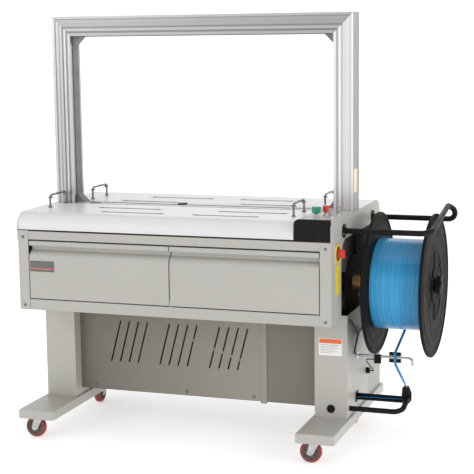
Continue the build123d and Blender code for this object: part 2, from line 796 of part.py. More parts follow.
# --- guard tube ---
def guard_tube():
    """Bent tube around the top of the reel, raised at its outer rear corner, with two wall flanges."""
    outermost = guard_reach - guard_radius
    beside = flange_outer_x + flange_rim / 2 + guard_clear + guard_radius
    points = [(half_length + 5, guard_front_y, guard_z), (beside + 7, guard_front_y, guard_z),
              (beside - 7, guard_rear_y - 14, guard_crest_z), (outermost + 30, guard_rear_y, guard_z - 6),
              (half_length + 5, guard_rear_y, guard_z - 6)]
    bent = tube(points, [40, 30, 24], guard_radius)
    flanges = []
    for y, z in ((guard_front_y, guard_z), (guard_rear_y, guard_z - 6)):
        flanges.append(rod_x(half_length, half_length + 5, y, z, guard_flange_radius))
    return bent, *flanges


save("guard_tube", *guard_tube())


# --- strap feed hardware ---
def guide_rod():
    """Zinc rod from the leg with a hooked end, and the two cheeks and pins that carry the rollers."""
    rod = tube([(wall_x + 4, strap_y, guide_z), (guide_rod_end, strap_y, guide_z),
                (guide_rod_end, strap_y, guide_z - 26)], [14], guide_rod_radius)
    rod += rod_x(wall_x, wall_x + 4, strap_y, guide_z, 14)
    half = roller_length / 2 + 0.3
    for x in (guide_x - half - cheek_thick, guide_x + half):
        cheek = block(x, x + cheek_thick, strap_y - 7, strap_y + 7,
                      guide_z - roller_spread - 6, guide_z + roller_spread + 6)
        rod += cheek
    for z in (guide_z - roller_spread, guide_z + roller_spread):
        rod += rod_x(guide_x - half, guide_x + half, strap_y, z, 2.5)
    return rod


def guide_roller(z):
    """Black plastic roller on one of the guide's pins."""
    half = roller_length / 2
    roller = rod_x(guide_x - half, guide_x + half, strap_y, z, roller_radius - roller_skin)
    return roller - rod_x(guide_x - half - 1, guide_x + half + 1, strap_y, z, 2.5 + running_gap)


def lower_arm():
    """Tube arm from the leg, the two-cheek corner bracket it carries, and the strap channel."""
    arm = tube([(wall_x, arm_y, arm_z), (corner_x + 6, arm_y, arm_z),
                (corner_x + 8, strap_y - channel_half - cheek_thick - 2.7, corner_z - 8)], [34], arm_radius)
    with BuildSketch(Plane.XZ) as cheek:
        with Locations((corner_x, corner_z)):
            Polygon((-14, -5), (-11, 31), (7, 32), (17, 8), (17, -20), (-1, -36), align=None)
    cheeks = [Pos(0, y, 0) * extrude(cheek.sketch, cheek_thick)
              for y in (strap_y - channel_half, strap_y + channel_half + cheek_thick)]
    pin = rod_y(corner_x, strap_y - channel_half, strap_y + channel_half, corner_z, 3)
    bracket = cheeks[0] + cheeks[1] + pin
    channel = block(wall_x + 3, corner_x - 14.2, strap_y - channel_half, strap_y + channel_half,
                    channel_bottom, channel_top)
    channel -= block(wall_x + 2, corner_x, strap_y - channel_half + 1.5, strap_y + channel_half - 1.5,
                     channel_bottom + 1.5, channel_top + 1)
    channel -= block(wall_x + 2, corner_x, strap_y - channel_half - 1, strap_y, channel_bottom + 7, channel_top + 1)
    flange_plate = block(wall_x, wall_x + 3, strap_y - 16, strap_y + 16, channel_bottom - 8, channel_top + 8)
    flange_plate -= block(wall_x - 1, wall_x + 4, strap_y - strap_slot / 2, strap_y + strap_slot / 2,
                          channel_bottom + 1.5, channel_top - 1)
    joined = channel + flange_plate
    joined += block(corner_x - 14.2, corner_x + 4, strap_y - channel_half, strap_y + channel_half,
                    channel_bottom, channel_bottom + 1.5)
    return arm, bracket, joined


corner_roller = rod_y(corner_x, strap_y - channel_half + 0.4, strap_y + channel_half - 0.4, corner_z, corner_radius)
corner_roller -= rod_y(corner_x, strap_y - 20, strap_y + 20, corner_z, 3 + running_gap)
save("guide_roller_upper", guide_roller(guide_z + roller_spread))
save("guide_roller_lower", guide_roller(guide_z - roller_spread))
save("lower_arm", *lower_arm())
save("corner_roller", corner_roller)


def ribbon(start, end, across):
    """Straight run of flat strap from start to end, its width along the across direction."""
    run = Vector(*end) - Vector(*start)
    plane = Plane(origin=start, x_dir=across, z_dir=run.normalized())
    return extrude(plane * Rectangle(strap_width, strap_thick), run.length)


def strap_run():
    """Strap from the back of the coil, over the guide rollers, round the corner and into the channel."""
    clear = strap_thick / 2 + 0.5
    roller_reach = roller_radius - roller_skin + clear
    upper_z = guide_z + roller_spread
    across = reel_y - strap_y
    rise = reel_z - upper_z
    spread = coil_radius + clear + roller_reach
    lean = math.atan2(across, rise) + math.asin(spread / math.hypot(across, rise))
    length = math.sqrt(across ** 2 + rise ** 2 - spread ** 2)
    wrap = roller_reach * (1 - math.cos(lean)) / math.sin(lean)
    front = strap_y - roller_reach
    top = upper_z + roller_reach * math.sin(lean) - wrap * math.cos(lean)
    leave = (guide_x + 36, front + (length + wrap) * math.sin(lean), top + (length + wrap) * math.cos(lean))
    below = guide_z - roller_spread - roller_radius - 4
    round_corner = corner_radius + 1.6
    corner_side = (corner_x + round_corner, strap_y, corner_z + corner_radius)
    turn = (corner_x + round_corner, strap_y, corner_z - round_corner)
    inside = (wall_x - 30, strap_y, channel_bottom + 6)
    upper = (guide_x, front, top)
    lower = (guide_x, front, below)
    return (ribbon(upper, leave, (1, 0, 0)), ribbon(lower, upper, (1, 0, 0)), bar_run(lower, corner_side),
            bar_run(corner_side, turn), bar_run(turn, inside))


def bar_run(start, end):
    """Plain square bar that holds the place of a twisting run of strap."""
    run = Vector(*end) - Vector(*start)
    plane = Plane(origin=start, z_dir=run.normalized())
    return extrude(plane * Rectangle(2.4, 2.4), run.length)


save("strap_run", *strap_run())

def slack_sensor():
    """Sensor body clamped under the guide rod, and the lead's gland on the leg."""
    body = block(sensor_x0, sensor_x1, strap_y - sensor_half, strap_y + sensor_half, sensor_low, guide_z + guide_rod_radius + 1)
    body -= rod_x(sensor_x0 - 1, sensor_x1 + 1, strap_y, guide_z, guide_rod_radius + running_gap)
    gland = rod_x(wall_x, wall_x + gland_depth, gland_y, gland_z, gland_radius)
    return body, gland


lead_points = [(sensor_x0, strap_y, lead_z), (sensor_x0 - 14, strap_y, lead_z), (wall_x + 34, -14, lead_z - 2),
               (wall_x + 28, 4, lead_z - 11), (wall_x + 28, 30, lead_z - 27), (wall_x + 31, 60, lead_z - 47),
               (wall_x + 33, 86, lead_z - 63), (wall_x + 31, 106, lead_z - 74), (wall_x + 24, gland_y, gland_z),
               (wall_x + gland_depth, gland_y, gland_z)]


def route_radii(points):
    """Largest tangent arc that each corner of a lead's route takes."""
    spots = [Vector(*point) for point in points]
    radii = []
    for before, here, after in zip(spots, spots[1:], spots[2:]):
        turn = math.radians((here - before).get_angle(after - here))
        shorter = min((here - before).length, (after - here).length)
        radii.append(0.45 * shorter / math.tan(turn / 2))
    return radii


save("slack_sensor", *slack_sensor())
save("sensor_lead", tube(lead_points, route_radii(lead_points), lead_radius))


# --- brake bell crank ---
def crank_arm(y, z, radius):
    """Flat bar from the pivot to a rounded end."""
    along = math.degrees(math.atan2(z - crank_z, y - crank_y))
    length = math.hypot(z - crank_z, y - crank_y)
    bar = Pos((y + crank_y) / 2, (z + crank_z) / 2) * Rot(0, 0, along) * Rectangle(length, 2 * radius)
    return bar + Pos(y, z) * Circle(radius)


def brake_crank():
    """Three-armed bell crank on a pivot stud."""
    outline = Pos(crank_y, crank_z) * Circle(11)
    for y, z in crank_ends:
        outline += crank_arm(y, z, 5)
    crank = side_plate(crank_x0, crank_x0 + crank_thick, outline)
    bored = crank - rod_x(crank_x0 - 1, crank_x0 + crank_thick + 1, crank_y, crank_z, 4 + running_gap)
    stud = rod_x(wall_x, crank_x0 + crank_thick + 4, crank_y, crank_z, 4)
    washer = rod_x(wall_x, crank_x0 - 0.3, crank_y, crank_z, 8)
    return bored, stud + washer


crank, crank_stud = brake_crank()
save("brake_crank", crank)
save("guide_rod_and_pivot", guide_rod(), crank_stud)


# --- strapping mechanism ---
def strapping_head():
    """Cast base and tower with two studs for the feed rollers and the sealing jaw under the table's opening."""
    head = block(head_left, head_right, -head_y, head_y, deck_top, base_top)
    head += block(tower_left, tower_right, -tower_y, tower_y, base_top, head_top)
    head -= block(tower_left + 30, tower_right - 30, -tower_y - 1, tower_y + 1, base_top + 90, head_top - 12)
    x0, x1, y0, y1 = jaw_opening
    head += block(x0 + jaw_gap, x1 - jaw_gap, y0 + jaw_gap, y1 - jaw_gap, head_top, jaw_top)
    for x in (feed_x, pinch_x):
        head += rod_y(x, -tower_y - 22, -tower_y, feed_z, stud_radius)
    return head


def feed_wheel(x, radius):
    """Wheel on a stud of the strapping head."""
    wheel = rod_y(x, -tower_y - 20, -tower_y - 0.3, feed_z, radius)
    return wheel - rod_y(x, -tower_y - 40, -tower_y + 10, feed_z, stud_radius + running_gap)


def drive_motor():
    """Motor on a foot beside the head, with its gearbox."""
    z = deck_top + motor_radius + 12
    motor = rod_x(head_right + 60, head_right + 60 + motor_length, 0, z, motor_radius)
    stand = block(head_right + 80, head_right + 40 + motor_length, -45, 45, deck_top, z - 20)
    gearbox = block(head_right, head_right + 60, -50, 50, deck_top, z + 50)
    return motor + stand, gearbox


save("strapping_head", strapping_head())
save("feed_roller", feed_wheel(feed_x, feed_radius))
save("pinch_roller", feed_wheel(pinch_x, pinch_radius))
save("drive_motor", *drive_motor())


def control_cabinet():
    """Electrical box with a lid, on the deck."""
    x0 = cabinet_side - cabinet_width
    y0 = -tower_y - 40 - cabinet_depth
    y1 = y0 + cabinet_depth
    box = block(x0, cabinet_side, y0, y1, deck_top, cabinet_top)
    box -= block(x0 + 2, cabinet_side - 2, y0 + 2, y1 - 2, deck_top + 2, cabinet_top + 1)
    return box, block(x0, cabinet_side, y0, y1, cabinet_top, cabinet_top + 2)


save("control_cabinet", *control_cabinet())


# --- screws ---
def screw(x, y, z):
    """Domed screw head on a front face."""
    head = rod_y(x, y - 2.5, y, z, 4.5)
    return fillet(head.edges().sort_by(Axis.Y)[0], 1.5)


def body_screws():
    """Heads on the posts and on the lower panels."""
    heads = []
    for x in (-half_length + 19, half_length - 19):
        for z in (top_rail_top - 20, body_bottom + 16):
            heads.append(screw(x, -half_depth, z))
    for share in (-0.873, -0.082, 0.478):
        heads.append(screw(share * (leg_x - leg_width / 2), pool_front, pool_floor + 15))
    return heads


save("body_screws", *body_screws())
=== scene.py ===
import itertools
import json
import math
import random

import bpy
from mathutils import Matrix, Vector


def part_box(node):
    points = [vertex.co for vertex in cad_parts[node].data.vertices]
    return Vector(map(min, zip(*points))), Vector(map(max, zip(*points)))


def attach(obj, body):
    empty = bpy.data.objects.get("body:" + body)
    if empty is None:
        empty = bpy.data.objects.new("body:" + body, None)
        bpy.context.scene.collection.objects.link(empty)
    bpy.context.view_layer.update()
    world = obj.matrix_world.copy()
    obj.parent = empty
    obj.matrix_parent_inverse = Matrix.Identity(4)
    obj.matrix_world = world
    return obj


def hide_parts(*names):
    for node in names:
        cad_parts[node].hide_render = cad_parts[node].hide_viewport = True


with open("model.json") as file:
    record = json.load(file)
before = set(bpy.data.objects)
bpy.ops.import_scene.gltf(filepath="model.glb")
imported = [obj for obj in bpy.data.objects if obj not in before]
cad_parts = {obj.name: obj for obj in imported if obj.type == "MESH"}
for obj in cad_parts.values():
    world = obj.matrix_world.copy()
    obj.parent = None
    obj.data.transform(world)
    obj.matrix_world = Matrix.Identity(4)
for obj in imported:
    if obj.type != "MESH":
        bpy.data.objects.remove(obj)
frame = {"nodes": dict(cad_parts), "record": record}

scene = bpy.context.scene
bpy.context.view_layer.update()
draw = random.Random(7)
MM = 0.001
X, Y, Z = Vector((1, 0, 0)), Vector((0, 1, 0)), Vector((0, 0, 1))


# ---- places on the CAD
def middle(node):
    low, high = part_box(node)
    return (low + high) / 2


def radius_of(node):
    """Radius of a round piece that lies along X or Y."""
    low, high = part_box(node)
    return (high.z - low.z) / 2


CENTRE_X = middle("table_frame").x
ARCH_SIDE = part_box("arch_columns")[1].x - CENTRE_X
ARCH_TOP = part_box("arch_top_beam")[1].z
COVER_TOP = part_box("front_table_cover")[1].z
PANEL_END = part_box("pool_panels")[1].x


# ---- materials
class Look:
    """Node material under construction, with Object coordinates as its only texture space."""

    def __init__(self, name, **fixed):
        self.mat = bpy.data.materials.new(name)
        self.mat.use_nodes = True
        self.tree = self.mat.node_tree
        self.shader = self.tree.nodes["Principled BSDF"]
        self.coords = self.tree.nodes.new("ShaderNodeTexCoord")
        for socket, value in fixed.items():
            self.shader.inputs[socket.replace("_", " ")].default_value = value

    def node(self, kind, **settings):
        made = self.tree.nodes.new(kind)
        for key, value in settings.items():
            setattr(made, key, value)
        return made

    def link(self, source, target):
        self.tree.links.new(source, target)

    def space(self, stretch=(1, 1, 1)):
        if tuple(stretch) == (1, 1, 1):
            return self.coords.outputs["Object"]
        mapping = self.node("ShaderNodeMapping")
        mapping.inputs["Scale"].default_value = stretch
        self.link(self.coords.outputs["Object"], mapping.inputs["Vector"])
        return mapping.outputs["Vector"]

    def noise(self, scale, detail=3.0, stretch=(1, 1, 1), rough=0.5):
        made = self.node("ShaderNodeTexNoise")
        made.inputs["Scale"].default_value = scale
        made.inputs["Detail"].default_value = detail
        made.inputs["Roughness"].default_value = rough
        self.link(self.space(stretch), made.inputs["Vector"])
        return made.outputs["Fac"]

    def ramp(self, value, stops):
        made = self.node("ShaderNodeValToRGB")
        ramp = made.color_ramp
        while len(ramp.elements) < len(stops):
            ramp.elements.new(0.5)
        for element, (place, colour) in zip(ramp.elements, stops):
            element.position = place
            element.color = (*colour, 1)
        self.link(value, made.inputs["Fac"])
        return made.outputs["Color"]

    def tones(self, value, colour, dark, light, start=0.3, end=0.7):
        """One colour that runs from dark to light times its brightness with a value."""
        return self.ramp(value, [(start, tone(colour, dark)), (end, tone(colour, light))])

    def span(self, value, low, high, start=0.3, end=0.7):
        made = self.node("ShaderNodeMapRange")
        made.inputs["From Min"].default_value = start
        made.inputs["From Max"].default_value = end
        made.inputs["To Min"].default_value = low
        made.inputs["To Max"].default_value = high
        self.link(value, made.inputs["Value"])
        return made.outputs["Result"]

    def mix(self, share, first, second, blend="MIX"):
        made = self.node("ShaderNodeMix", data_type="RGBA", blend_type=blend)
        for value, socket in ((share, made.inputs[0]), (first, made.inputs[6]), (second, made.inputs[7])):
            if hasattr(value, "links"):
                self.link(value, socket)
            elif socket.type == "RGBA":
                socket.default_value = (*value, 1)
            else:
                socket.default_value = value
        return made.outputs[2]

    def maths(self, operation, first, second=None):
        made = self.node("ShaderNodeMath", operation=operation)
        for value, socket in ((first, made.inputs[0]), (second, made.inputs[1])):
            if value is None:
                continue
            if hasattr(value, "links"):
                self.link(value, socket)
            else:
                socket.default_value = value
        return made.outputs[0]

    def along(self, axis):
        """Object coordinate on one axis."""
        split = self.node("ShaderNodeSeparateXYZ")
        self.link(self.coords.outputs["Object"], split.inputs[0])
        return split.outputs[axis]

    def off_axis(self, centre):
        """Distance from a line along X through centre."""
        y = self.maths("SUBTRACT", self.along("Y"), centre.y)
        z = self.maths("SUBTRACT", self.along("Z"), centre.z)
        square = self.maths("ADD", self.maths("MULTIPLY", y, y), self.maths("MULTIPLY", z, z))
        return self.maths("SQRT", square)

    def dim(self, body, factor):
        """body with its brightness multiplied by a value."""
        grey = self.node("ShaderNodeCombineXYZ")
        for socket in grey.inputs:
            self.link(factor, socket)
        return self.mix(1.0, body, grey.outputs[0], "MULTIPLY")

    def shade(self, body, axis, start, end, low, high):
        """body with painted light and shade: a brightness that runs from low to high between two places on
        an axis.
        """
        return self.dim(body, self.span(self.along(axis), low, high, start, end))

    def colour(self, value):
        self.link(value, self.shader.inputs["Base Color"])

    def roughness(self, value):
        self.link(value, self.shader.inputs["Roughness"])

    def relief(self, *layers, rounded=0.0):
        """Bump layers of (height, depth in metres), over edges rounded by the Bevel node."""
        normal = None
        if rounded:
            bevel = self.node("ShaderNodeBevel", samples=4)
            bevel.inputs["Radius"].default_value = rounded
            normal = bevel.outputs["Normal"]
        for height, depth in layers:
            bump = self.node("ShaderNodeBump")
            bump.inputs["Strength"].default_value = 1.0
            bump.inputs["Distance"].default_value = depth
            self.link(height, bump.inputs["Height"])
            if normal is not None:
                self.link(normal, bump.inputs["Normal"])
            normal = bump.outputs["Normal"]
        if normal is not None:
            self.link(normal, self.shader.inputs["Normal"])

    def edges(self, radius):
        """1 on convex and concave edges, 0 on flats."""
        bevel = self.node("ShaderNodeBevel", samples=4)
        bevel.inputs["Radius"].default_value = radius
        geometry = self.node("ShaderNodeNewGeometry")
        dot = self.node("ShaderNodeVectorMath", operation="DOT_PRODUCT")
        self.link(bevel.outputs["Normal"], dot.inputs[0])
        self.link(geometry.outputs["True Normal"], dot.inputs[1])
        return self.span(dot.outputs["Value"], 1.0, 0.0, 0.85, 0.99)


def tone(colour, factor):
    return tuple(min(1.0, c * factor) for c in colour)


def powder(name, colour, rough=0.42, dust=0.0, shade=None, patch=None):
    """Baked powder coat: faint orange peel, slow drift in tone, thin wear on folded edges.

    shade holds what Look.shade takes, a painted light gradient; patch is an axis, a level and the
    brightness beyond it, a painted shade."""
    look = Look(name, Coat_Weight=0.08, Coat_Roughness=0.35)
    drift = look.noise(2.2, 4.0)
    fleck = look.noise(1400.0, 2.0)
    body = look.tones(drift, colour, 0.965, 1.02)
    body = look.mix(look.span(fleck, 0.0, 0.10), body, tone(colour, 0.82))
    scuffs = look.span(look.noise(38.0, 5.0, rough=0.7), 0.0, 1.0, 0.52, 0.75)
    wear = look.maths("MULTIPLY", look.edges(0.0018), scuffs)
    body = look.mix(look.maths("MULTIPLY", wear, 0.35), body, tone(colour, 0.62))
    if dust:
        near_floor = look.span(look.along("Z"), 1.0, 0.0, 0.0, 0.25)
        grime = look.maths("MULTIPLY", near_floor, look.span(look.noise(16.0, 5.0), 0.0, dust, 0.35, 0.75))
        body = look.mix(grime, body, (0.30, 0.27, 0.23))
    # Painted light along an axis.
    if shade:
        body = look.shade(body, *shade)
    # Painted shade beyond a level on one axis.
    if patch:
        axis, level, factor = patch
        beyond = look.maths("GREATER_THAN", look.along(axis), level)
        body = look.dim(body, look.span(beyond, 1.0, factor, 0.0, 1.0))
    look.colour(body)
    look.roughness(look.span(look.noise(60.0, 3.0), rough - 0.04, rough + 0.05))
    look.relief((look.noise(620.0, 2.0), 0.00006), (look.noise(9.0, 2.0), 0.0003), rounded=0.0014)
    return look.mat


# Painted shade in the grooves and painted highlight on the flats of the arch profile, from its inner edge
# to its outer edge.
PROFILE_PAINTED_BANDS = [(0.0, 0.98), (0.13, 0.98), (0.155, 0.60), (0.235, 0.58), (0.26, 1.06), (0.37, 1.06),
                 (0.395, 0.66), (0.46, 0.62), (0.49, 0.92), (0.80, 0.95), (0.83, 0.74), (0.87, 0.74),
                 (0.895, 1.10), (1.0, 1.08)]


def extrusion(name, colour, along, bands, side_painted_shade=None, shade=None):
    """Anodised aluminium profile with die lines along one axis.

    The side painted shade is a distance from the middle of the table and how much the faces beyond it are
    darkened; bands is the axis across the profile, the place it is measured from, and where the profile
    starts and ends, for painted groove shade."""
    look = Look(name, Metallic=1.0)
    lines = look.noise(1.0, 4.0, [1.6 if axis == along else 260.0 for axis in "XYZ"])
    cloud = look.noise(1.0, 2.0, [0.8 if axis == along else 30.0 for axis in "XYZ"])
    body = look.tones(lines, colour, 0.90, 1.06)
    body = look.mix(look.span(cloud, 0.0, 0.22), body, tone(colour, 0.80))
    axis, origin, start, end = bands
    place = look.maths("ABSOLUTE", look.maths("SUBTRACT", look.along(axis), origin))
    # Painted groove shade and highlights across the profile.
    stops = [(at, (light, light, light)) for at, light in PROFILE_PAINTED_BANDS]
    body = look.mix(1.0, body, look.ramp(look.span(place, 0.0, 1.0, start, end), stops), "MULTIPLY")
    # Painted light along the machine.
    if shade:
        body = look.shade(body, *shade)
    # Painted shade on the outer side faces.
    if side_painted_shade:
        distance, share = side_painted_shade
        place = look.maths("ABSOLUTE", look.maths("SUBTRACT", look.along("X"), CENTRE_X))
        side = look.maths("GREATER_THAN", place, distance)
        body = look.mix(look.maths("MULTIPLY", side, share), body, tone(colour, 0.30))
    look.colour(body)
    look.roughness(look.span(lines, 0.27, 0.43))
    look.relief((lines, 0.00005), (look.noise(900.0, 2.0), 0.00002), rounded=0.0009)
    return look.mat


def steel(name, colour, rough=0.30, spots=0.12, scale=1.0, metallic=1.0):
    """Machined or plated steel: fine brushing in patches, faint tarnish."""
    look = Look(name, Metallic=metallic)
    patch = look.noise(24.0 * scale, 4.0)
    brush = look.noise(1.0, 3.0, (900.0, 900.0, 60.0))
    body = look.tones(patch, colour, 0.82, 1.08, 0.32, 0.68)
    stain = look.span(look.noise(85.0 * scale, 5.0, rough=0.65), 0.0, spots, 0.5, 0.8)
    look.colour(look.mix(stain, body, tone(colour, 0.45)))
    look.roughness(look.span(brush, rough - 0.08, rough + 0.12))
    look.relief((brush, 0.00003), rounded=0.0006)
    return look.mat


def moulded(name, colour, rough=0.42, texture=0.00006, scale=700.0, coat=0.0, shine=0.5):
    """Moulded or painted plastic with spark-eroded grain and handling marks."""
    look = Look(name, Coat_Weight=coat, Coat_Roughness=0.25, Specular_IOR_Level=shine)
    cells = look.node("ShaderNodeTexVoronoi")
    cells.inputs["Scale"].default_value = scale
    look.link(look.space(), cells.inputs["Vector"])
    marks = look.noise(30.0, 5.0, rough=0.65)
    look.colour(look.tones(marks, colour, 0.85, 1.15, 0.3, 0.72))
    look.roughness(look.span(marks, rough - 0.07, rough + 0.10))
    look.relief((cells.outputs["Distance"], texture), rounded=0.001)
    return look.mat


def cast_paint(name, colour):
    """Sand-cast iron under thick enamel."""
    look = Look(name, Coat_Weight=0.1, Coat_Roughness=0.4)
    skin = look.noise(160.0, 6.0, rough=0.7)
    body = look.tones(look.noise(9.0, 4.0), colour, 0.8, 1.1)
    look.colour(look.mix(look.span(skin, 0.0, 0.25), body, tone(colour, 0.5)))
    look.roughness(look.span(skin, 0.45, 0.65))
    look.relief((skin, 0.0006), rounded=0.002)
    return look.mat


# Painted highlight and shade on the coil: a tint across it from its left end to its right, and one up it
# from bottom to top.
COIL_ENDS = (0.49, 0.66)
COIL_HEIGHTS = (0.40, 0.72)
COIL_PAINTED_HIGHLIGHT = [(0.0, (3.4, 1.18, 1.06)), (0.4, (2.3, 1.22, 1.14)), (1.0, (1.25, 1.12, 1.12))]
COIL_PAINTED_LIGHT = [(0.0, (0.50, 0.57, 0.64)), (0.35, (0.80, 0.88, 0.92)), (0.60, (1.0, 1.0, 1.0)),
              (0.88, (0.55, 0.64, 0.70))]


def band_plastic(name, colour):
    """Polypropylene strap: diamond emboss, lengthwise streaks, satin gloss, and painted highlight and shade
    over the coil.
    """
    look = Look(name, Coat_Weight=0.22, Coat_Roughness=0.18, Specular_IOR_Level=0.35)
    streak = look.noise(1.0, 4.0, (230.0, 3.0, 3.0))
    cloud = look.noise(11.0, 3.0)
    body = look.ramp(streak, [(0.25, tone(colour, 0.72)), (0.55, colour), (0.8, tone(colour, 1.25))])
    body = look.mix(look.span(cloud, 0.0, 0.30), body, tone(colour, 0.62))
    # Painted highlight and shade: brighter towards the coil's left end and its upper middle, darker low and
    # high.
    body = look.shade(body, "X", *COIL_ENDS, 2.0, 0.92)
    height = look.span(look.along("Z"), 0.0, 1.0, *COIL_HEIGHTS)
    body = look.mix(1.0, body, look.ramp(height, COIL_PAINTED_LIGHT), "MULTIPLY")
    across = look.span(look.along("X"), 0.0, 1.0, *COIL_ENDS)
    look.colour(look.mix(1.0, body, look.ramp(across, COIL_PAINTED_HIGHLIGHT), "MULTIPLY"))
    look.roughness(look.span(streak, 0.24, 0.36))
    weave = look.node("ShaderNodeTexVoronoi")
    weave.inputs["Scale"].default_value = 1.0
    look.link(look.space((900.0, 620.0, 620.0)), weave.inputs["Vector"])
    look.relief((weave.outputs["Distance"], 0.00005), (streak, 0.00012))
    return look.mat


def rubber(name, colour, rough=0.62):
    """Black rubber with a grey bloom in patches."""
    look = Look(name)
    skin = look.noise(420.0, 4.0)
    bloom = look.span(look.noise(40.0, 4.0), 0.0, 0.35, 0.4, 0.8)
    look.colour(look.mix(bloom, colour, tone(colour, 2.6)))
    look.roughness(look.span(skin, rough - 0.08, rough + 0.1))
    look.relief((skin, 0.00008), rounded=0.0006)
    return look.mat


def polyurethane(name, colour):
    """Cast tread: slightly translucent-looking red with floor scuffs round its running face."""
    look = Look(name, Coat_Weight=0.15, Coat_Roughness=0.3)
    scuff = look.span(look.noise(130.0, 5.0, rough=0.7), 0.0, 0.55, 0.45, 0.8)
    body = look.tones(look.noise(22.0, 3.0), colour, 0.8, 1.12)
    look.colour(look.mix(scuff, body, tone(colour, 0.45)))
    look.roughness(look.span(look.noise(70.0), 0.36, 0.55))
    look.relief((look.noise(300.0, 3.0), 0.0001), rounded=0.0006)
    return look.mat


def printed(name, colour, rough=0.38):
    """Laminated film of a sticker, with faint mottling under the laminate."""
    look = Look(name, Coat_Weight=0.4, Coat_Roughness=0.12)
    mottle = look.noise(350.0, 3.0)
    drift = look.noise(14.0, 2.0)
    body = look.tones(drift, colour, 0.93, 1.04)
    look.colour(look.mix(look.span(mottle, 0.0, 0.08), body, tone(colour, 0.7)))
    look.roughness(look.span(mottle, rough - 0.05, rough + 0.07))
    look.relief((look.noise(120.0), 0.00004))
    return look.mat


def pocketed(name, centre):
    """Flange plastic, painted darker in the moulded pockets round the hub as painted shade."""
    look = Look(name, Specular_IOR_Level=0.05)
    outside = look.span(look.off_axis(centre), 0.0, 1.0, 112 * MM, 122 * MM)
    marks = look.noise(26.0, 5.0, rough=0.65)
    plain = look.ramp(marks, [(0.3, (0.009, 0.0075, 0.0065)), (0.72, (0.016, 0.0135, 0.0115))])
    # Painted shade in the pockets round the hub.
    pocket_painted_shade = look.ramp(marks, [(0.3, (0.003, 0.0025, 0.002)), (0.72, (0.006, 0.005, 0.0045))])
    look.colour(look.mix(outside, pocket_painted_shade, plain))
    look.roughness(look.span(marks, 0.48, 0.62))
    look.relief((look.noise(420.0, 2.0), 0.00008), rounded=0.001)
    return look.mat


def axis_look(name, near, far, centre, reach):
    """Metal within reach of a line along X, and a second, matt finish beyond it that takes a dark colour as
    painted shade.
    """
    look = Look(name, Specular_IOR_Level=0.04)
    beyond = look.maths("GREATER_THAN", look.off_axis(centre), reach)
    look.link(look.span(beyond, 0.85, 0.0, 0.0, 1.0), look.shader.inputs["Metallic"])
    fine = look.noise(1.0, 3.0, (60.0, 700.0, 700.0))
    first = look.tones(fine, near, 0.85, 1.1)
    second = look.tones(look.noise(90.0, 5.0, rough=0.7), far, 0.7, 1.25)
    look.colour(look.mix(beyond, first, second))
    look.roughness(look.span(beyond, 0.4, 0.8, 0.0, 1.0))
    look.relief((fine, 0.00003), rounded=0.0006)
    return look.mat


def level_look(name, below, above, axis, level, metallic):
    """Moulding that changes to a second finish beyond a level on one axis."""
    look = Look(name, Specular_IOR_Level=0.12)
    over = look.maths("GREATER_THAN", look.along(axis), level)
    marks = look.noise(60.0, 4.0, rough=0.6)
    first = look.tones(marks, below, 0.85, 1.15)
    second = look.tones(marks, above, 0.85, 1.1)
    look.colour(look.mix(over, first, second))
    look.link(look.maths("MULTIPLY", over, metallic), look.shader.inputs["Metallic"])
    look.roughness(look.span(marks, 0.34, 0.48))
    look.relief((look.noise(500.0), 0.00004), rounded=0.0008)
    return look.mat


GREY = (0.425, 0.411, 0.380)
WHITE = (0.67, 0.675, 0.685)
CASTING = (0.16, 0.18, 0.19)
BLACK = (0.009, 0.0085, 0.0085)
PROFILE_WIDTH = 70 * MM
POST_STRIP_WIDTH = 186 * MM
# Painted light on paint and metal, darker towards the left end of the machine: an axis, two places along it
# and the brightness at each.
COLUMN_PAINTED_LIGHT = ("X", -0.60, 0.25, 0.74, 1.06)
PANEL_PAINTED_LIGHT = ("X", -0.60, 0.10, 0.80, 1.55)
LOOKS = {
    "grey_paint": powder("body_powder_coat", GREY),
    "white_paint": powder("cover_powder_coat", WHITE, rough=0.34),
    "aluminium": extrusion("arch_profile_upright", (0.70, 0.70, 0.70), "Z",
                           ("X", CENTRE_X, ARCH_SIDE - PROFILE_WIDTH, ARCH_SIDE),
                           side_painted_shade=(ARCH_SIDE - 1.0 * MM, 0.75), shade=COLUMN_PAINTED_LIGHT),
    "dark_steel": steel("blackened_steel", (0.060, 0.056, 0.053), rough=0.45, spots=0.3, metallic=0.6),
    "steel": steel("bright_steel", (0.58, 0.58, 0.60), rough=0.26),
    "black_paint": moulded("guard_enamel", (0.010, 0.009, 0.0085), texture=0.00003, shine=0.1),
    "black_plastic": moulded("black_moulding", BLACK, rough=0.50, shine=0.14),
    "grey_plastic": moulded("grey_moulding", (0.28, 0.28, 0.27)),
    "green_plastic": moulded("green_button", (0.006, 0.26, 0.14), rough=0.25, texture=0.00001, coat=0.5),
    "red_plastic": moulded("red_button", (0.62, 0.022, 0.014), rough=0.28, texture=0.00001, coat=0.5),
    "yellow_plastic": moulded("switch_yellow", (0.86, 0.56, 0.012), rough=0.30, texture=0.00002, coat=0.3),
    "blue_strap": band_plastic("blue_strap_band", (0.010, 0.225, 0.46)),
    "zinc": steel("zinc_plate", (0.52, 0.52, 0.50), rough=0.36, spots=0.2, scale=2.0),
    "red_wheel": polyurethane("red_tread", (0.27, 0.016, 0.010)),
    "cast_iron": cast_paint("enamelled_casting", CASTING),
    "roller_rubber": rubber("ground_rubber", (0.02, 0.02, 0.021)),
    "lead_rubber": rubber("cable_sheath", (0.016, 0.016, 0.017), rough=0.5),
    "cabinet_paint": powder("cabinet_paint", (0.50, 0.50, 0.48)),
}
HUB_GREY = moulded("hub_grey", (0.15, 0.125, 0.115), rough=0.50, scale=400.0, shine=0.25)
BEAM = extrusion("arch_profile_beam", (0.40, 0.395, 0.39), "X",
                 ("Z", 0.0, ARCH_TOP - PROFILE_WIDTH, ARCH_TOP))
STAND = powder("stand_powder_coat", tone(GREY, 1.03), dust=0.07)
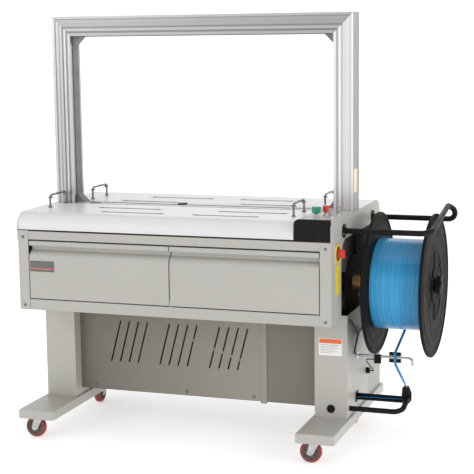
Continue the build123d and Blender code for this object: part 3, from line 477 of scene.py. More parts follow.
# Pool panels: the body grey painted darker as shade under the table, with painted light along X and more
# painted shade beyond a level near the right end.
PANEL_IN_PAINTED_SHADE = powder("panel_coat_painted_shade", (0.178, 0.164, 0.136), shade=PANEL_PAINTED_LIGHT,
               patch=("X", PANEL_END - POST_STRIP_WIDTH, 0.60))
# Pool shell: the body grey painted darker as shade under the table.
POOL_IN_PAINTED_SHADE = powder("pool_coat_painted_shade", tone(GREY, 0.80))
FITTING = steel("dull_steel", (0.22, 0.22, 0.22), rough=0.36, spots=0.3)
LINER = steel("track_liner_steel", (0.20, 0.20, 0.19), rough=0.5, spots=0.3, metallic=0.5)
LABEL_WHITE = printed("label_white", (0.80, 0.80, 0.78))
LABEL_GREY = printed("label_bar_grey", (0.42, 0.42, 0.41))
LABEL_ORANGE = printed("label_orange", (0.78, 0.13, 0.015))
LABEL_YELLOW = printed("label_yellow", (0.83, 0.64, 0.02))
LABEL_CREAM = printed("label_cream", (0.80, 0.74, 0.45))
PLATE_DARK = printed("plate_dark", (0.10, 0.10, 0.10), rough=0.3)

# The shaft is brassy metal out to this radius, and the brake disc beyond it is painted dark brown as shade
# in the bay.
BRASS_REACH = 24.6 * MM
SHAFT = axis_look("shaft_and_brake_disc", (0.55, 0.36, 0.15), (0.034, 0.024, 0.016), middle("strap_coil"),
                  BRASS_REACH)
BED = level_look("bed_and_skirts", (0.018, 0.018, 0.018), WHITE, "Z", COVER_TOP - 0.15 * MM, 0.0)
BEZEL = level_look("bezel_and_collars", BLACK, (0.62, 0.62, 0.63), "Y",
                   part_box("control_bezel")[0].y + 12 * MM, 1.0)
HEAD = level_look("casting_and_jaw", CASTING, (0.02, 0.02, 0.02), "Z", COVER_TOP - 5.5 * MM, 0.7)

OWN_LOOK = {
    "lower_arm": LOOKS["black_paint"],
    "front_cover_fittings": FITTING,
    "rear_cover_fittings": FITTING,
    "arch_track_liners": LINER,
    "arch_gussets": LINER,
    "tension_knob": LOOKS["grey_plastic"],
    "arch_top_beam": BEAM,
    "foot_beams": STAND,
    "leg_columns": STAND,
    "pool_panels": PANEL_IN_PAINTED_SHADE,
    "pool_shell": POOL_IN_PAINTED_SHADE,
    "reel_shaft": SHAFT,
    "track_bed": BED,
    "control_bezel": BEZEL,
    "strapping_head": HEAD,
}
slot_of = {part["node"]: part["material_slot"] for part in frame["record"]["subparts"]}
for node_name, node in frame["nodes"].items():
    for place in node.material_slots:
        place.material = OWN_LOOK.get(node_name, LOOKS[slot_of[node_name]])


# ---- mesh helpers
def in_mm(*points):
    """Points given in millimetres, in metres."""
    return [tuple(value * MM for value in point) for point in points]


def mirrored(profile):
    """Profile of (along, radius) points followed back on the other side of the wheel's middle."""
    return [(-along, radius) for along, radius in reversed(profile)]


def even(low, high, inset, count):
    """count places along a length, the outer two inset by a share of it."""
    return [low + (high - low) * (inset + (1 - 2 * inset) * i / (count - 1)) for i in range(count)]


def circle(steps):
    """Angles of the steps once round."""
    return [2 * math.pi * step / steps for step in range(steps)]


def basis(axis):
    """Two directions across an axis, and the axis."""
    w = Vector(axis).normalized()
    u = Z if abs(w.z) < 0.9 else X
    u = (u - w * u.dot(w)).normalized()
    return u, w.cross(u), w


def ring_quads(first, second, steps, inward=False):
    """Quads between two rings of vertices that start at the given numbers. inward turns them over."""
    quads = []
    for step in range(steps):
        after = (step + 1) % steps
        quad = [first + step, second + step, second + after, first + after]
        quads.append([quad[0], quad[3], quad[2], quad[1]] if inward else quad)
    return quads


class Build:
    """Vertices, faces and material numbers of a piece made of several shells."""

    def __init__(self):
        self.verts, self.faces, self.marks = [], [], []

    def add(self, verts, faces, mark=0):
        base = len(self.verts)
        self.verts += [Vector(v) for v in verts]
        self.faces += [[base + i for i in face] for face in faces]
        self.marks += [mark] * len(faces)

    def spin(self, profile, centre, axis, steps=48, mark=0, shape=None, closed=True):
        """Revolves a closed loop of (along, radius). shape(radius, angle, along) may move a point."""
        u, v, w = basis(axis)
        centre = Vector(centre)
        verts, faces, count = [], [], len(profile)
        for angle in circle(steps):
            for along, radius in profile:
                if shape:
                    along, radius = shape(radius, angle, along)
                verts.append(centre + w * along + (u * math.cos(angle) + v * math.sin(angle)) * radius)
        for step in range(steps):
            here, there = step * count, (step + 1) % steps * count
            for i in range(count if closed else count - 1):
                j = (i + 1) % count
                faces.append([here + i, here + j, there + j, there + i])
        if not closed:
            faces.append([step * count for step in reversed(range(steps))])
            faces.append([step * count + count - 1 for step in range(steps)])
        self.add(verts, faces, mark)

    def knob(self, profile, centre, axis, steps=48, mark=0, shape=None):
        """Revolves an open profile and closes each end with a small face round the axis."""
        self.spin(profile, centre, axis, steps, mark, shape, closed=False)

    def slab(self, low, high, bevel, mark=0):
        """Box with chamfered edges, as 24 corners."""
        low, high = Vector(low), Vector(high)
        cut = min(bevel, min(high - low) * 0.45)
        verts, index, faces = [], {}, []
        for bits in itertools.product((0, 1), repeat=3):
            for axis in range(3):
                index[bits, axis] = len(verts)
                inset = [0 if k == axis else (-cut if bits[k] else cut) for k in range(3)]
                verts.append([(low, high)[bits[k]][k] + inset[k] for k in range(3)])
        for axis in range(3):
            a, c = (axis + 1) % 3, (axis + 2) % 3

            def corner(side, p, q):
                bits = [0, 0, 0]
                bits[axis], bits[a], bits[c] = side, p, q
                return tuple(bits)

            for side in (0, 1):
                loop = [index[corner(side, p, q), axis] for p, q in ((0, 0), (1, 0), (1, 1), (0, 1))]
                faces.append(loop if side else loop[::-1])
            for p, q in itertools.product((0, 1), repeat=2):
                start, end = corner(0, p, q), corner(1, p, q)
                loop = [index[start, a], index[end, a], index[end, c], index[start, c]]
                faces.append(loop if p == q else loop[::-1])
        for bits in itertools.product((0, 1), repeat=3):
            loop = [index[bits, axis] for axis in range(3)]
            faces.append(loop if sum(bits) % 2 else loop[::-1])
        self.add(verts, faces, mark)

    def sweep(self, sections, mark=0):
        """Skins a row of sections, each a list of as many points, and closes both ends."""
        count = len(sections[0])
        verts = [point for section in sections for point in section]
        faces = []
        for k in range(len(sections) - 1):
            for i in range(count):
                j = (i + 1) % count
                faces.append([k * count + i, k * count + j, (k + 1) * count + j, (k + 1) * count + i])
        faces.append(list(range(count))[::-1])
        faces.append([(len(sections) - 1) * count + i for i in range(count)])
        self.add(verts, faces, mark)

    def make(self, name, looks, body, smooth=32.0):
        """Mesh object that rides on a body. looks is one material, or a list with one for each mark."""
        mesh = bpy.data.meshes.new(name)
        mesh.from_pydata([tuple(v) for v in self.verts], [], self.faces)
        for look in (looks if isinstance(looks, list) else [looks]):
            mesh.materials.append(look)
        mesh.polygons.foreach_set("material_index", self.marks)
        mesh.polygons.foreach_set("use_smooth", [True] * len(mesh.polygons))
        mesh.update()
        mesh.validate()
        mesh.set_sharp_from_angle(angle=math.radians(smooth))
        made = bpy.data.objects.new(name, mesh)
        scene.collection.objects.link(made)
        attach(made, body)
        return made


def islands(node):
    """Box of every separate solid of a CAD node."""
    thing = frame["nodes"][node]
    mesh = thing.data
    parent = list(range(len(mesh.vertices)))

    def root(i):
        while parent[i] != i:
            parent[i] = parent[parent[i]]
            i = parent[i]
        return i

    for edge in mesh.edges:
        a, b = root(edge.vertices[0]), root(edge.vertices[1])
        if a != b:
            parent[a] = b
    groups = {}
    for vertex in mesh.vertices:
        groups.setdefault(root(vertex.index), []).append(thing.matrix_world @ vertex.co)
    boxes = []
    for spots in groups.values():
        low = Vector([min(p[k] for p in spots) for k in range(3)])
        high = Vector([max(p[k] for p in spots) for k in range(3)])
        boxes.append((low, high))
    return sorted(boxes, key=lambda box: tuple(box[0]))


def six_sided(least, most):
    """Shape for Build.spin that turns circles between two radii into hexagons."""
    def shape(radius, angle, along):
        if not least <= radius <= most:
            return along, radius
        turn = angle % (math.pi / 3) - math.pi / 6
        return along, radius * math.cos(math.pi / 6) / math.cos(turn)

    return shape


def screw_head(build, centre, axis, radius=4.5 * MM, height=2.5 * MM, mark=0):
    """Domed head with a hexagon socket, standing on centre along axis."""
    socket = radius * 0.46
    dome = [(0.0, 1.0), (0.35, 1.0), (0.62, 0.93), (0.85, 0.78), (0.97, 0.60)]
    hole = [(1.0, 1.12), (0.95, 1.0), (0.35, 0.98), (0.30, 0.2)]
    profile = [(height * rise, radius * share) for rise, share in dome]
    profile += [(height * rise, socket * share) for rise, share in hole]
    build.knob(profile, centre, axis, 24, mark, six_sided(0.0, socket * 1.05))


def nut(build, centre, axis, radius, height):
    """Hexagon nut with chamfered corners."""
    outline = [(0.0, 1.0), (0.8, 1.0), (1.0, 0.88), (1.0, 0.45), (0.7, 0.42), (0.7, 0.05)]
    profile = [(height * rise, radius * share) for rise, share in outline]
    build.knob(profile, centre, axis, 36, 0, six_sided(radius * 0.7, radius))


# ---- reel
POCKET_EDGE = 118 * MM
OUTER_RING = (194 * MM, 203 * MM)
INNER_RING = (119 * MM, 128 * MM)


def flange_height(radius, angle, reach, half):
    """Half the flange's thickness at a place: hub, ribbed pockets, rings, radial ridges and rim."""
    rim_width, rim_roll = 12 * MM, 0.55
    hub, dish_start, dish_end, dish_share = 62 * MM, 24 * MM, 50 * MM, 0.45
    web, ring_height = 2.5 * MM, 1.6 * MM
    ribs, rib_half_width, rib_height = 6, 5 * MM, 3.0 * MM
    ridges, ridge_half_width, ridge_height = 24, 2 * MM, 0.7 * MM

    def off_spoke(count):
        return abs((angle / (2 * math.pi) * count + 0.5) % 1 - 0.5) * 2 * math.pi / count * radius

    if radius > reach - rim_width:
        edge = (radius - (reach - rim_width)) / rim_width
        return half * (1 - 0.45 * (max(0.0, edge - rim_roll) / (1 - rim_roll)) ** 2)
    if radius < hub:
        return half * (dish_share if dish_start < radius < dish_end else 1.0)
    if radius < POCKET_EDGE:
        return web * 0.6 + (rib_height if off_spoke(ribs) < rib_half_width else 0.0)
    on_ring = any(start <= radius <= end for start, end in (INNER_RING, OUTER_RING))
    on_ridge = off_spoke(ridges) < ridge_half_width and radius < OUTER_RING[0]
    return web + (ring_height if on_ring else 0.0) + (ridge_height if on_ridge else 0.0)


def reel_flange(node):
    """Moulded flange, with circles close together where its height changes."""
    low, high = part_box(node)
    centre, half, reach = middle(node), (high.x - low.x) / 2, radius_of(node)
    inner = (12, 16, 22, 30, 34, 40, 52, 60, 64, 70, 80, 92, 104, 112, 117, 121, 126, 134, 150, 168, 186,
             194, 197, 202, 206, 216, 226, 230, 233)
    radii = [radius * MM for radius in inner]
    radii += [reach - inset * MM for inset in (9, 5, 2, 0.6, 0)]
    steps, rings = 144, len(radii)
    u, v, w = basis(X)
    verts, faces = [], []
    for side in (1, -1):
        for radius in radii:
            for angle in circle(steps):
                x = side * flange_height(radius, angle, reach, half)
                verts.append(centre + w * x + (u * math.cos(angle) + v * math.sin(angle)) * radius)
    back = rings * steps
    for ring in range(rings - 1):
        a = ring * steps
        faces += ring_quads(a, a + steps, steps)
        faces += ring_quads(back + a + steps, back + a, steps)
    outermost = (rings - 1) * steps
    faces += ring_quads(outermost, back + outermost, steps)
    faces += ring_quads(back, 0, steps)
    build = Build()
    build.add(verts, faces)
    name = node.replace("reel_", "") + "_moulding"
    made = build.make(name, pocketed("pocketed_" + node, centre), "reel", 28.0)
    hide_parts(node)


def wound_coil():
    """Strap wound side by side on a core: each pass overlaps its neighbour, the top layer ends part way."""
    low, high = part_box("strap_coil")
    centre, outer = middle("strap_coil"), radius_of("strap_coil")
    core, sleeve_bore, sleeve_gap = 98 * MM, 96 * MM, 0.4 * MM
    end_inset, side_rings = 1.8 * MM, 15
    passes, columns_per_pass, steps = 20, 5, 200
    depth, layer, layer_share = 1.9 * MM, 0.7 * MM, 0.56
    crown, lift_most, lean_most = 0.12 * MM, 0.08 * MM, 0.2 * MM
    roll, roll_share, groove = 1.0 * MM, 0.02, 0.5 * MM
    columns = passes * columns_per_pass
    x0, x1 = low.x + end_inset - centre.x, high.x - end_inset - centre.x
    lean = [draw.uniform(-1, 1) for _ in range(passes + 2)]
    lift = [draw.uniform(-1, 1) for _ in range(passes + 2)]
    u, v, w = basis(X)

    def spot(x, radius, angle):
        return centre + w * x + (u * math.cos(angle) + v * math.sin(angle)) * radius

    def height(share, angle):
        wound = share * passes + angle / (2 * math.pi)
        number = int(wound)
        part = wound - number
        k = number % (passes + 2)
        top = layer if wound < passes * layer_share else 0.0
        edge = crown * (0.5 - abs(part - 0.5)) * 2
        ends = min(1.0, share / roll_share, (1 - share) / roll_share)
        uneven = lift[k] * lift_most + lean[k] * lean_most * (part - 0.5)
        return top - depth + uneven + edge - roll * (1 - ends)

    verts, faces = [], []
    for column in range(columns + 1):
        share = column / columns
        x = x0 + (x1 - x0) * share
        verts += [spot(x, outer + height(share, angle), angle) for angle in circle(steps)]
    for column in range(columns):
        faces += ring_quads(column * steps, (column + 1) * steps, steps, inward=True)
    side_outer = outer - 3 * MM
    radii = [side_outer - i * (side_outer - core) / (side_rings - 1) for i in range(side_rings)]
    for side, x, edge_start in ((-1, x0, 0), (1, x1, columns * steps)):
        starts = [edge_start]
        for i, radius in enumerate(radii):
            starts.append(len(verts))
            verts += [spot(x - side * groove * (i % 2), radius, angle) for angle in circle(steps)]
        for a, b in zip(starts, starts[1:]):
            faces += ring_quads(*((a, b) if side > 0 else (b, a)), steps, inward=True)
    bore_end = len(verts) - steps
    faces += ring_quads(bore_end - side_rings * steps, bore_end, steps, inward=True)
    build = Build()
    build.add(verts, faces)
    made = build.make("strap_winding", LOOKS["blue_strap"], "reel", 50.0)
    sleeve = Build()
    left, right, top = low.x - centre.x, high.x - centre.x, core - sleeve_gap
    sleeve.spin([(left, sleeve_bore), (right, sleeve_bore), (right, top), (left, top)], centre, X, 96)
    sleeve.make("winding_core", LOOKS["black_plastic"], "reel")
    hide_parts("strap_coil")


reel_flange("reel_inner_flange")
reel_flange("reel_outer_flange")
wound_coil()


# ---- strap
def strap_path():
    """Places down the strap, from the coil to the channel, each with its share of the quarter turn."""
    off_roller, off_corner = 0.9 * MM, 1.6 * MM
    upper, lower = middle("guide_roller_upper"), middle("guide_roller_lower")
    corner = middle("corner_roller")
    reach = radius_of("guide_roller_upper") + off_roller
    turn_reach = radius_of("corner_roller") + off_corner
    coil, coil_reach = middle("strap_coil"), radius_of("strap_coil") + off_roller
    across, rise = coil.y - upper.y, coil.z - upper.z
    spread = coil_reach + reach
    lean = math.atan2(across, rise) + math.asin(spread / math.hypot(across, rise))
    run = math.sqrt(across ** 2 + rise ** 2 - spread ** 2)

    def on_upper(angle):
        return Vector((upper.x, upper.y - reach * math.cos(angle), upper.z + reach * math.sin(angle)))

    start = on_upper(lean)
    leave = start + Vector((0, math.sin(lean), math.cos(lean))) * run
    leave.x = upper.x + 30 * MM
    run_steps, bend_steps, twist_steps, corner_steps, end_steps = 12, 8, 28, 12, 8
    path = [(leave.lerp(start, k / run_steps), 0.0) for k in range(run_steps + 1)]
    path += [(on_upper(lean * (1 - k / bend_steps)), 0.0) for k in range(1, bend_steps + 1)]
    path.append((Vector((lower.x, lower.y - reach, lower.z)), 0.0))
    first = Vector((lower.x, lower.y - reach, lower.z - 8 * MM))
    last = Vector((corner.x + turn_reach, corner.y, corner.z + 6 * MM))
    for k in range(1, twist_steps + 1):
        t = k / twist_steps
        path.append((first.lerp(last, t), t * t * (3 - 2 * t)))
    for k in range(1, corner_steps + 1):
        angle = math.pi / 2 * k / corner_steps
        x, z = corner.x + turn_reach * math.cos(angle), corner.z - turn_reach * math.sin(angle)
        path.append((Vector((x, corner.y, z)), 1.0))
    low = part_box("strap_run")[0]
    turned, end = path[-1][0], Vector((low.x + 2 * MM, corner.y, low.z + 2 * MM))
    path += [(turned.lerp(end, k / end_steps), 1.0) for k in range(1, end_steps + 1)]
    return path


def strap_band():
    """Flat strap over both guide rollers, through a quarter turn, round the corner and into the channel."""
    width, thick = 9.0 * MM, 0.8 * MM
    path = strap_path()
    sections = []
    for i, (spot, turn) in enumerate(path):
        before, after = path[max(0, i - 1)][0], path[min(len(path) - 1, i + 1)][0]
        along = (after - before).normalized()
        side = Vector((math.cos(turn * math.pi / 2), math.sin(turn * math.pi / 2), 0))
        side = (side - along * side.dot(along)).normalized()
        face = along.cross(side)
        corners = ((-1, -1), (1, -1), (1, 1), (-1, 1))
        sections.append([spot + side * a * width / 2 + face * b * thick / 2 for a, b in corners])
    build = Build()
    build.sweep(sections)
    made = build.make("strap_band", LOOKS["blue_strap"], "machine", 50.0)
    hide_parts("strap_run")


strap_band()


# ---- casters
def caster_wheel(node, body):
    """Red tread on a grey spoked hub with a steel bearing tube."""
    low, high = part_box(node)
    centre, size = (low + high) / 2, high - low
    axis = X if size.x < size.y else Y
    half, outer = min(size.x, size.y) / 2, size.z / 2
    rim = outer - 8.5 * MM
    shoulder = [(0.2 * MM - half, rim), (0.6 * MM - half, outer - 5.5 * MM),
                (3.0 * MM - half, outer - 1.6 * MM), (6.0 * MM - half, outer - 0.25 * MM)]
    build = Build()
    build.spin(shoulder + [(0, outer)] + mirrored(shoulder), centre, axis, 72, 0)

    pocket_start, pocket_end, pocket_share, spokes, spoke_share = 11 * MM, 23.5 * MM, 0.45, 6, 0.16

    def pockets(radius, angle, along):
        between = abs((angle / (2 * math.pi) * spokes) % 1 - 0.5) > spoke_share
        in_pocket = pocket_start < radius < pocket_end and between
        return along * (pocket_share if in_pocket else 1.0), radius

    edge, web, boss = half - 0.4 * MM, half * 0.62, half - 0.1 * MM
    hub = [(-edge, rim - 0.1 * MM), (-edge, rim - 2.5 * MM), (-web, rim - 3.5 * MM), (-web, 22.5 * MM),
           (-web, 12.5 * MM), (-web, 10.5 * MM), (-boss, 9.5 * MM), (-boss, 6.2 * MM)]
    build.spin(hub + mirrored(hub), centre, axis, 72, 1, pockets)
    bore, tube = 4.5 * MM, 6.0 * MM
    build.spin([(-half, bore), (half, bore), (half, tube), (-half, tube)], centre, axis, 24, 2)
    looks = [LOOKS["red_wheel"], HUB_GREY, LOOKS["steel"]]
    made = build.make(node.replace("caster_", "rolling_"), looks, body, 34.0)
    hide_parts(node)


def axle_nuts(node, body):
    """A nut on each end of the axle, which is the fork's solid with the least height."""
    low, high = min(islands(node), key=lambda box: (box[1] - box[0]).z)
    size, centre = high - low, (low + high) / 2
    axis = Vector(X if size.x > size.y else Y)
    height = 2.0 * MM
    seat = max(size.x, size.y) / 2 - height
    build = Build()
    for side in (-1, 1):
        nut(build, centre + axis * side * seat, axis * side, 6.5 * MM, height)
    build.make(node + "_nuts", LOOKS["zinc"], body)


for corner_name in ("front_left", "front_right", "rear_left", "rear_right"):
    caster_wheel("caster_wheel_" + corner_name, "wheel_" + corner_name)
    axle_nuts("caster_fork_" + corner_name, "fork_" + corner_name)


# ---- screws and small fittings
def panel_screws():
    """Socket heads in place of the plain ones of the CAD model."""
    build = Build()
    for low, high in islands("body_screws"):
        screw_head(build, ((low.x + high.x) / 2, high.y, (low.z + high.z) / 2), (0, -1, 0))
    made = build.make("panel_screws", FITTING, "machine")
    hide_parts("body_screws")


def rear_screws():
    """Rows of screws on the two rear sheets, and four on the left end plate."""
    build = Build()
    for node, inset, count, above, below in (("rear_panel", 0.04, 6, 16 * MM, 16 * MM),
                                             ("pool_shell", 0.05, 5, 40 * MM, 18 * MM)):
        low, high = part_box(node)
        for x in even(low.x, high.x, inset, count):
            for z in (low.z + above, high.z - below):
                screw_head(build, (x, high.y, z), Y)
    low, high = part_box("left_end_plate")
    from_end, from_middle, from_top = 30 * MM, 100 * MM, 80 * MM
    for y in (low.y + from_end, -from_middle, from_middle, high.y - from_end):
        screw_head(build, (low.x, y, high.z - from_top), (-1, 0, 0))
    build.make("rear_and_end_screws", FITTING, "machine")


def cover_hardware(node, body):
    """Collars at the feet of the wire handles and countersunk screws at the ends of the runners."""
    handle_least, foot_inset, screw_inset, screw_sink = 10 * MM, 3.5 * MM, 6 * MM, 0.2 * MM
    collar = in_mm((0.0, 3.5), (0.0, 8.5), (0.8, 8.5), (1.2, 7.8), (1.3, 6.4), (4.6, 6.2), (5.0, 5.6),
                   (5.0, 3.5))
    build = Build()
    for low, high in islands(node):
        if high.z - low.z > handle_least:
            for y in (low.y + foot_inset, high.y - foot_inset):
                build.spin(collar, ((low.x + high.x) / 2, y, low.z), Z, 32)
        else:
            for x in (low.x + screw_inset, high.x - screw_inset):
                place = (x, (low.y + high.y) / 2, high.z - screw_sink)
                screw_head(build, place, Z, 3.2 * MM, 0.9 * MM)
    build.make(body + "_hardware", FITTING, body)


def door_plate():
    """Blank name plate with a thin coloured line on the left door."""
    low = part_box("front_door_left")[0]
    start, end = low + Vector((3, 0, 95)) * MM, low + Vector((95, 0, 133)) * MM
    thick, margin, line_low, line_high = 0.8 * MM, 4 * MM, 9 * MM, 12 * MM
    build = Build()
    build.slab((start.x, low.y - thick, start.z), (end.x, low.y, end.z), 0.4 * MM, 0)
    build.slab((start.x + margin, low.y - thick - 0.15 * MM, start.z + line_low),
               (end.x - margin, low.y - thick + 0.1 * MM, start.z + line_high), 0.05 * MM, 1)
    build.make("door_plate", [PLATE_DARK, LABEL_ORANGE], "left_door")


def leg_label():
    """Paper label with a coloured head and grey bars where its text would be."""
    low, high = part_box("leg_columns")
    x0, x1 = high.x - 99.5 * MM, high.x - 18.5 * MM
    z0, z1 = low.z + 218.5 * MM, low.z + 277.5 * MM
    y, sink = low.y, low.y - 0.2 * MM
    head_margin, head_depth = 1.5 * MM, 17 * MM
    bar_margin, bar_top, bar_pitch, bar_height, chamfer = 5 * MM, 21 * MM, 5.6 * MM, 2.2 * MM, 0.05 * MM
    build = Build()
    build.slab((x0, y - 0.25 * MM, z0), (x1, y, z1), 0.1 * MM, 0)
    build.slab((x0 + head_margin, y - 0.35 * MM, z1 - head_depth),
               (x1 - head_margin, sink, z1 - head_margin), chamfer, 1)
    for row, share in enumerate((0.9, 0.82, 0.88, 0.70, 0.86, 0.55)):
        top, left = z1 - bar_top - bar_pitch * row, x0 + bar_margin
        right = left + (x1 - x0 - 2 * bar_margin) * share
        build.slab((left, y - 0.32 * MM, top - bar_height), (right, sink, top), chamfer, 2)
    build.make("leg_label", [LABEL_WHITE, LABEL_ORANGE, LABEL_GREY], "machine")


def sticker(name, x, low, high, look):
    """Blank sticker on a face that looks along +X, between two corners (y, z)."""
    build = Build()
    build.slab((x, *low), (x + 0.3 * MM, *high), 0.1 * MM)
    build.make(name, look, "machine")


def side_stickers():
    """Yellow sticker on the right end plate and a cream one on the right column."""
    low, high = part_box("right_end_plate")
    sticker("end_sticker", high.x, (low.y + 52 * MM, low.z + 95 * MM), (low.y + 103 * MM, low.z + 194 * MM),
            LABEL_YELLOW)
    column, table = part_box("arch_columns")[1].x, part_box("front_table_cover")[1].z
    sticker("column_sticker", column, (-34 * MM, table + 64 * MM), (12 * MM, table + 144 * MM),
            LABEL_CREAM)


def leg_socket():
    """Round cable entry at the foot of the right leg."""
    low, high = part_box("leg_columns")
    from_side, above_foot = 57.5 * MM, 31.5 * MM
    outline = in_mm((0.0, 14.5), (1.4, 14.5), (2.0, 13.6), (2.0, 10.5), (0.6, 9.6), (-8, 9.4), (-8, 0.4))
    build = Build()
    build.knob(outline, (high.x - from_side, low.y, low.z + above_foot), (0, -1, 0), 40)
    build.make("leg_cable_entry", LOOKS["black_plastic"], "machine")


def switch_details():
    """Raised ring and corner screws on the main switch plate."""
    centre = middle("main_switch_plate")
    centre.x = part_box("main_switch_plate")[0].x + 3 * MM
    corner = 24.5 * MM
    build = Build()
    build.spin(in_mm((0, 17.0), (0, 24.0), (0.9, 23.4), (0.9, 17.6)), centre, X, 48, 0)
    for y, z in itertools.product((-corner, corner), repeat=2):
        screw_head(build, centre + Vector((0, y, z)), X, 2.6 * MM, 1.4 * MM, 1)
    build.make("switch_ring", [LOOKS["black_plastic"], LOOKS["steel"]], "machine")


def wear_piece():
    """Thin black wear piece on the track bed beside the left column."""
    low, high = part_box("track_bed")
    start, end = Vector((49, -24, 0)) * MM, Vector((88, -9, 0.9)) * MM
    build = Build()
    build.slab((low.x + start.x, start.y, high.z), (low.x + end.x, end.y, high.z + end.z), 0.4 * MM)
    build.make("track_wear_piece", LOOKS["black_plastic"], "machine")


def guard_bolts():
    """Three socket screws in each wall flange of the guard tube."""
    flange_most, pitch_radius = 8 * MM, 16 * MM
    build = Build()
    for low, high in islands("guard_tube"):
        if high.x - low.x < flange_most:
            centre = Vector((high.x, (low.y + high.y) / 2, (low.z + high.z) / 2))
            for angle in (math.radians(90 + 120 * k) for k in range(3)):
                out = Vector((0, math.cos(angle), math.sin(angle)))
                screw_head(build, centre + out * pitch_radius, X, 3.4 * MM, 2.2 * MM)
    build.make("guard_flange_screws", LOOKS["steel"], "machine")


def painted_shade_sheets():
    """Dark sheet on each side of the reel's bearing plate, put in as painted shade that closes off the bay
    in the window.
    """
    low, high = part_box("bearing_block")
    to_front, to_rear, gap, thick, screw_inset = 105 * MM, 130 * MM, 1 * MM, 1.5 * MM, 30 * MM
    face = low.x + thick
    build = Build()
    for y0, y1 in ((low.y - to_front, low.y - gap), (high.y + gap, high.y + to_rear)):
        build.slab((low.x, y0, low.z + 6 * MM), (face, y1, high.z - 1 * MM), 0.4 * MM)
        for z in (low.z + screw_inset, high.z - screw_inset):
            screw_head(build, (face, (y0 + y1) / 2, z), X, 4.0 * MM, 2.2 * MM)
    build.make("painted_shade_bay_sheets", LOOKS["dark_steel"], "machine")


def rear_louvres():
    """Pressed cooling louvres in the rear panel."""
    centre, face = middle("rear_panel"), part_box("rear_panel")[1].y - 0.4 * MM
    rows, pitch, from_middle = 7, 18 * MM, 260 * MM
    profile = in_mm((0.0, 0.0), (2.6, 3.0), (2.9, 5.0), (1.0, 8.5), (0.0, 10.5))
    half_length, end_swells = 75 * MM, [(0, 0.05), (4 * MM, 0.8), (9 * MM, 1.0)]
    swells = [(inset - half_length, swell) for inset, swell in end_swells]
    swells += [(-along, swell) for along, swell in reversed(swells)]
    build = Build()
    for x in (centre.x - from_middle, centre.x + from_middle):
        for row in range(rows):
            z = centre.z + (row - (rows - 1) / 2) * pitch
            build.sweep([[(x + along, face + out * swell, z + rise) for out, rise in profile]
                         for along, swell in swells])
    build.make("rear_louvres", LOOKS["grey_paint"], "machine")


panel_screws()
rear_screws()
cover_hardware("front_cover_fittings", "front_cover")
cover_hardware("rear_cover_fittings", "rear_cover")
door_plate()
leg_label()
side_stickers()
leg_socket()
switch_details()
wear_piece()
guard_bolts()
painted_shade_sheets()
rear_louvres()


# ---- camera, light and floor
CAMERA_PLACE = (1.5246, -4.4863, 1.4173)
CAMERA_YAW, CAMERA_PITCH, CAMERA_ROLL = 19.1, 8.6, -0.7
CAMERA_LENS, CAMERA_SENSOR = 102.486, 36.0


def camera():
    """Long lens a little right of and above the machine, fitted to the straight edges of the picture."""
    yaw, pitch, roll = math.radians(CAMERA_YAW), math.radians(CAMERA_PITCH), math.radians(CAMERA_ROLL)
    forward = Vector((-math.sin(yaw) * math.cos(pitch), math.cos(yaw) * math.cos(pitch), -math.sin(pitch)))
    level = Vector((math.cos(yaw), math.sin(yaw), 0))
    upright = level.cross(forward)
    right = level * math.cos(roll) + upright * math.sin(roll)
    up = upright * math.cos(roll) - level * math.sin(roll)
    data = bpy.data.cameras.new("camera")
    data.lens, data.sensor_width, data.clip_end = CAMERA_LENS, CAMERA_SENSOR, 60.0
    made = bpy.data.objects.new("camera", data)
    turned = Matrix((right, up, -forward)).transposed().to_4x4()
    made.matrix_world = Matrix.Translation(CAMERA_PLACE) @ turned
    scene.collection.objects.link(made)
    scene.camera = made


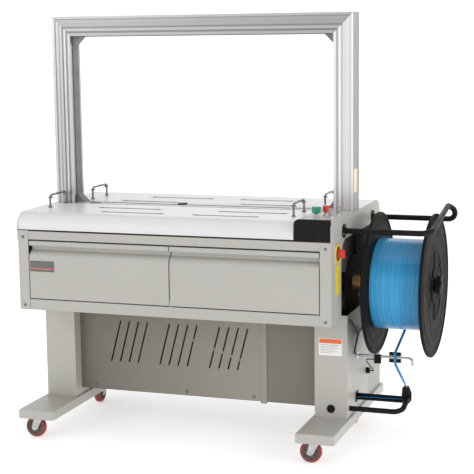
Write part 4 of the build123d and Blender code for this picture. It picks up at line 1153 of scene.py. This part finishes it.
def area(name, place, target, size, power):
    """Soft rectangular lamp that faces a target."""
    data = bpy.data.lights.new(name, "AREA")
    data.shape = "RECTANGLE"
    data.size, data.size_y = size
    data.energy = power
    made = bpy.data.objects.new(name, data)
    made.location = place
    made.rotation_euler = (Vector(target) - Vector(place)).to_track_quat("-Z", "Y").to_euler()
    scene.collection.objects.link(made)


def studio_world(brightness):
    """Even white surroundings."""
    world = bpy.data.worlds.new("studio")
    world.use_nodes = True
    background = world.node_tree.nodes["Background"]
    background.inputs["Color"].default_value = (1.0, 1.0, 1.0, 1)
    background.inputs["Strength"].default_value = brightness
    scene.world = world
    scene.view_settings.view_transform = "Standard"


def studio_floor():
    """Pale round floor that curves up into a wall far behind the machine on every side."""
    steps, flat, curve, curve_steps, wall_top, glow = 96, 9.0, 2.5, 8, 7.0, 0.42
    rings = [(1 * MM, 0.0), (flat, 0.0)]
    for k in range(1, curve_steps + 1):
        angle = math.pi / 2 * k / curve_steps
        rings.append((flat + curve * math.sin(angle), curve * (1 - math.cos(angle))))
    rings.append((flat + curve, wall_top))
    verts, faces = [], []
    for radius, height in rings:
        verts += [(radius * math.cos(angle), radius * math.sin(angle), height) for angle in circle(steps)]
    for ring in range(len(rings) - 1):
        faces += ring_quads(ring * steps, (ring + 1) * steps, steps)
    mesh = bpy.data.meshes.new("floor")
    mesh.from_pydata(verts, [], faces)
    mesh.polygons.foreach_set("use_smooth", [True] * len(faces))
    paper = Look("studio_floor", Roughness=0.8, Emission_Color=(1, 1, 1, 1), Emission_Strength=glow)
    paper.colour(paper.ramp(paper.noise(3.0), [(0.3, (0.86, 0.86, 0.86)), (0.7, (0.88, 0.88, 0.88))]))
    mesh.materials.append(paper.mat)
    made = bpy.data.objects.new("floor", mesh)
    scene.collection.objects.link(made)


camera()
area("overhead", (-0.3, -0.4, 4.2), (-0.1, 0.0, 0.8), (4.5, 3.5), 40)
area("key", (-2.6, -3.6, 2.6), (0.0, 0.0, 0.7), (2.0, 2.4), 26)
area("side", (4.0, -1.0, 2.0), (0.3, 0.0, 0.7), (2.2, 2.4), 48)
area("back", (-0.5, 3.6, 2.6), (0.0, 0.0, 0.8), (3.5, 2.0), 12)
studio_world(0.46)
studio_floor()
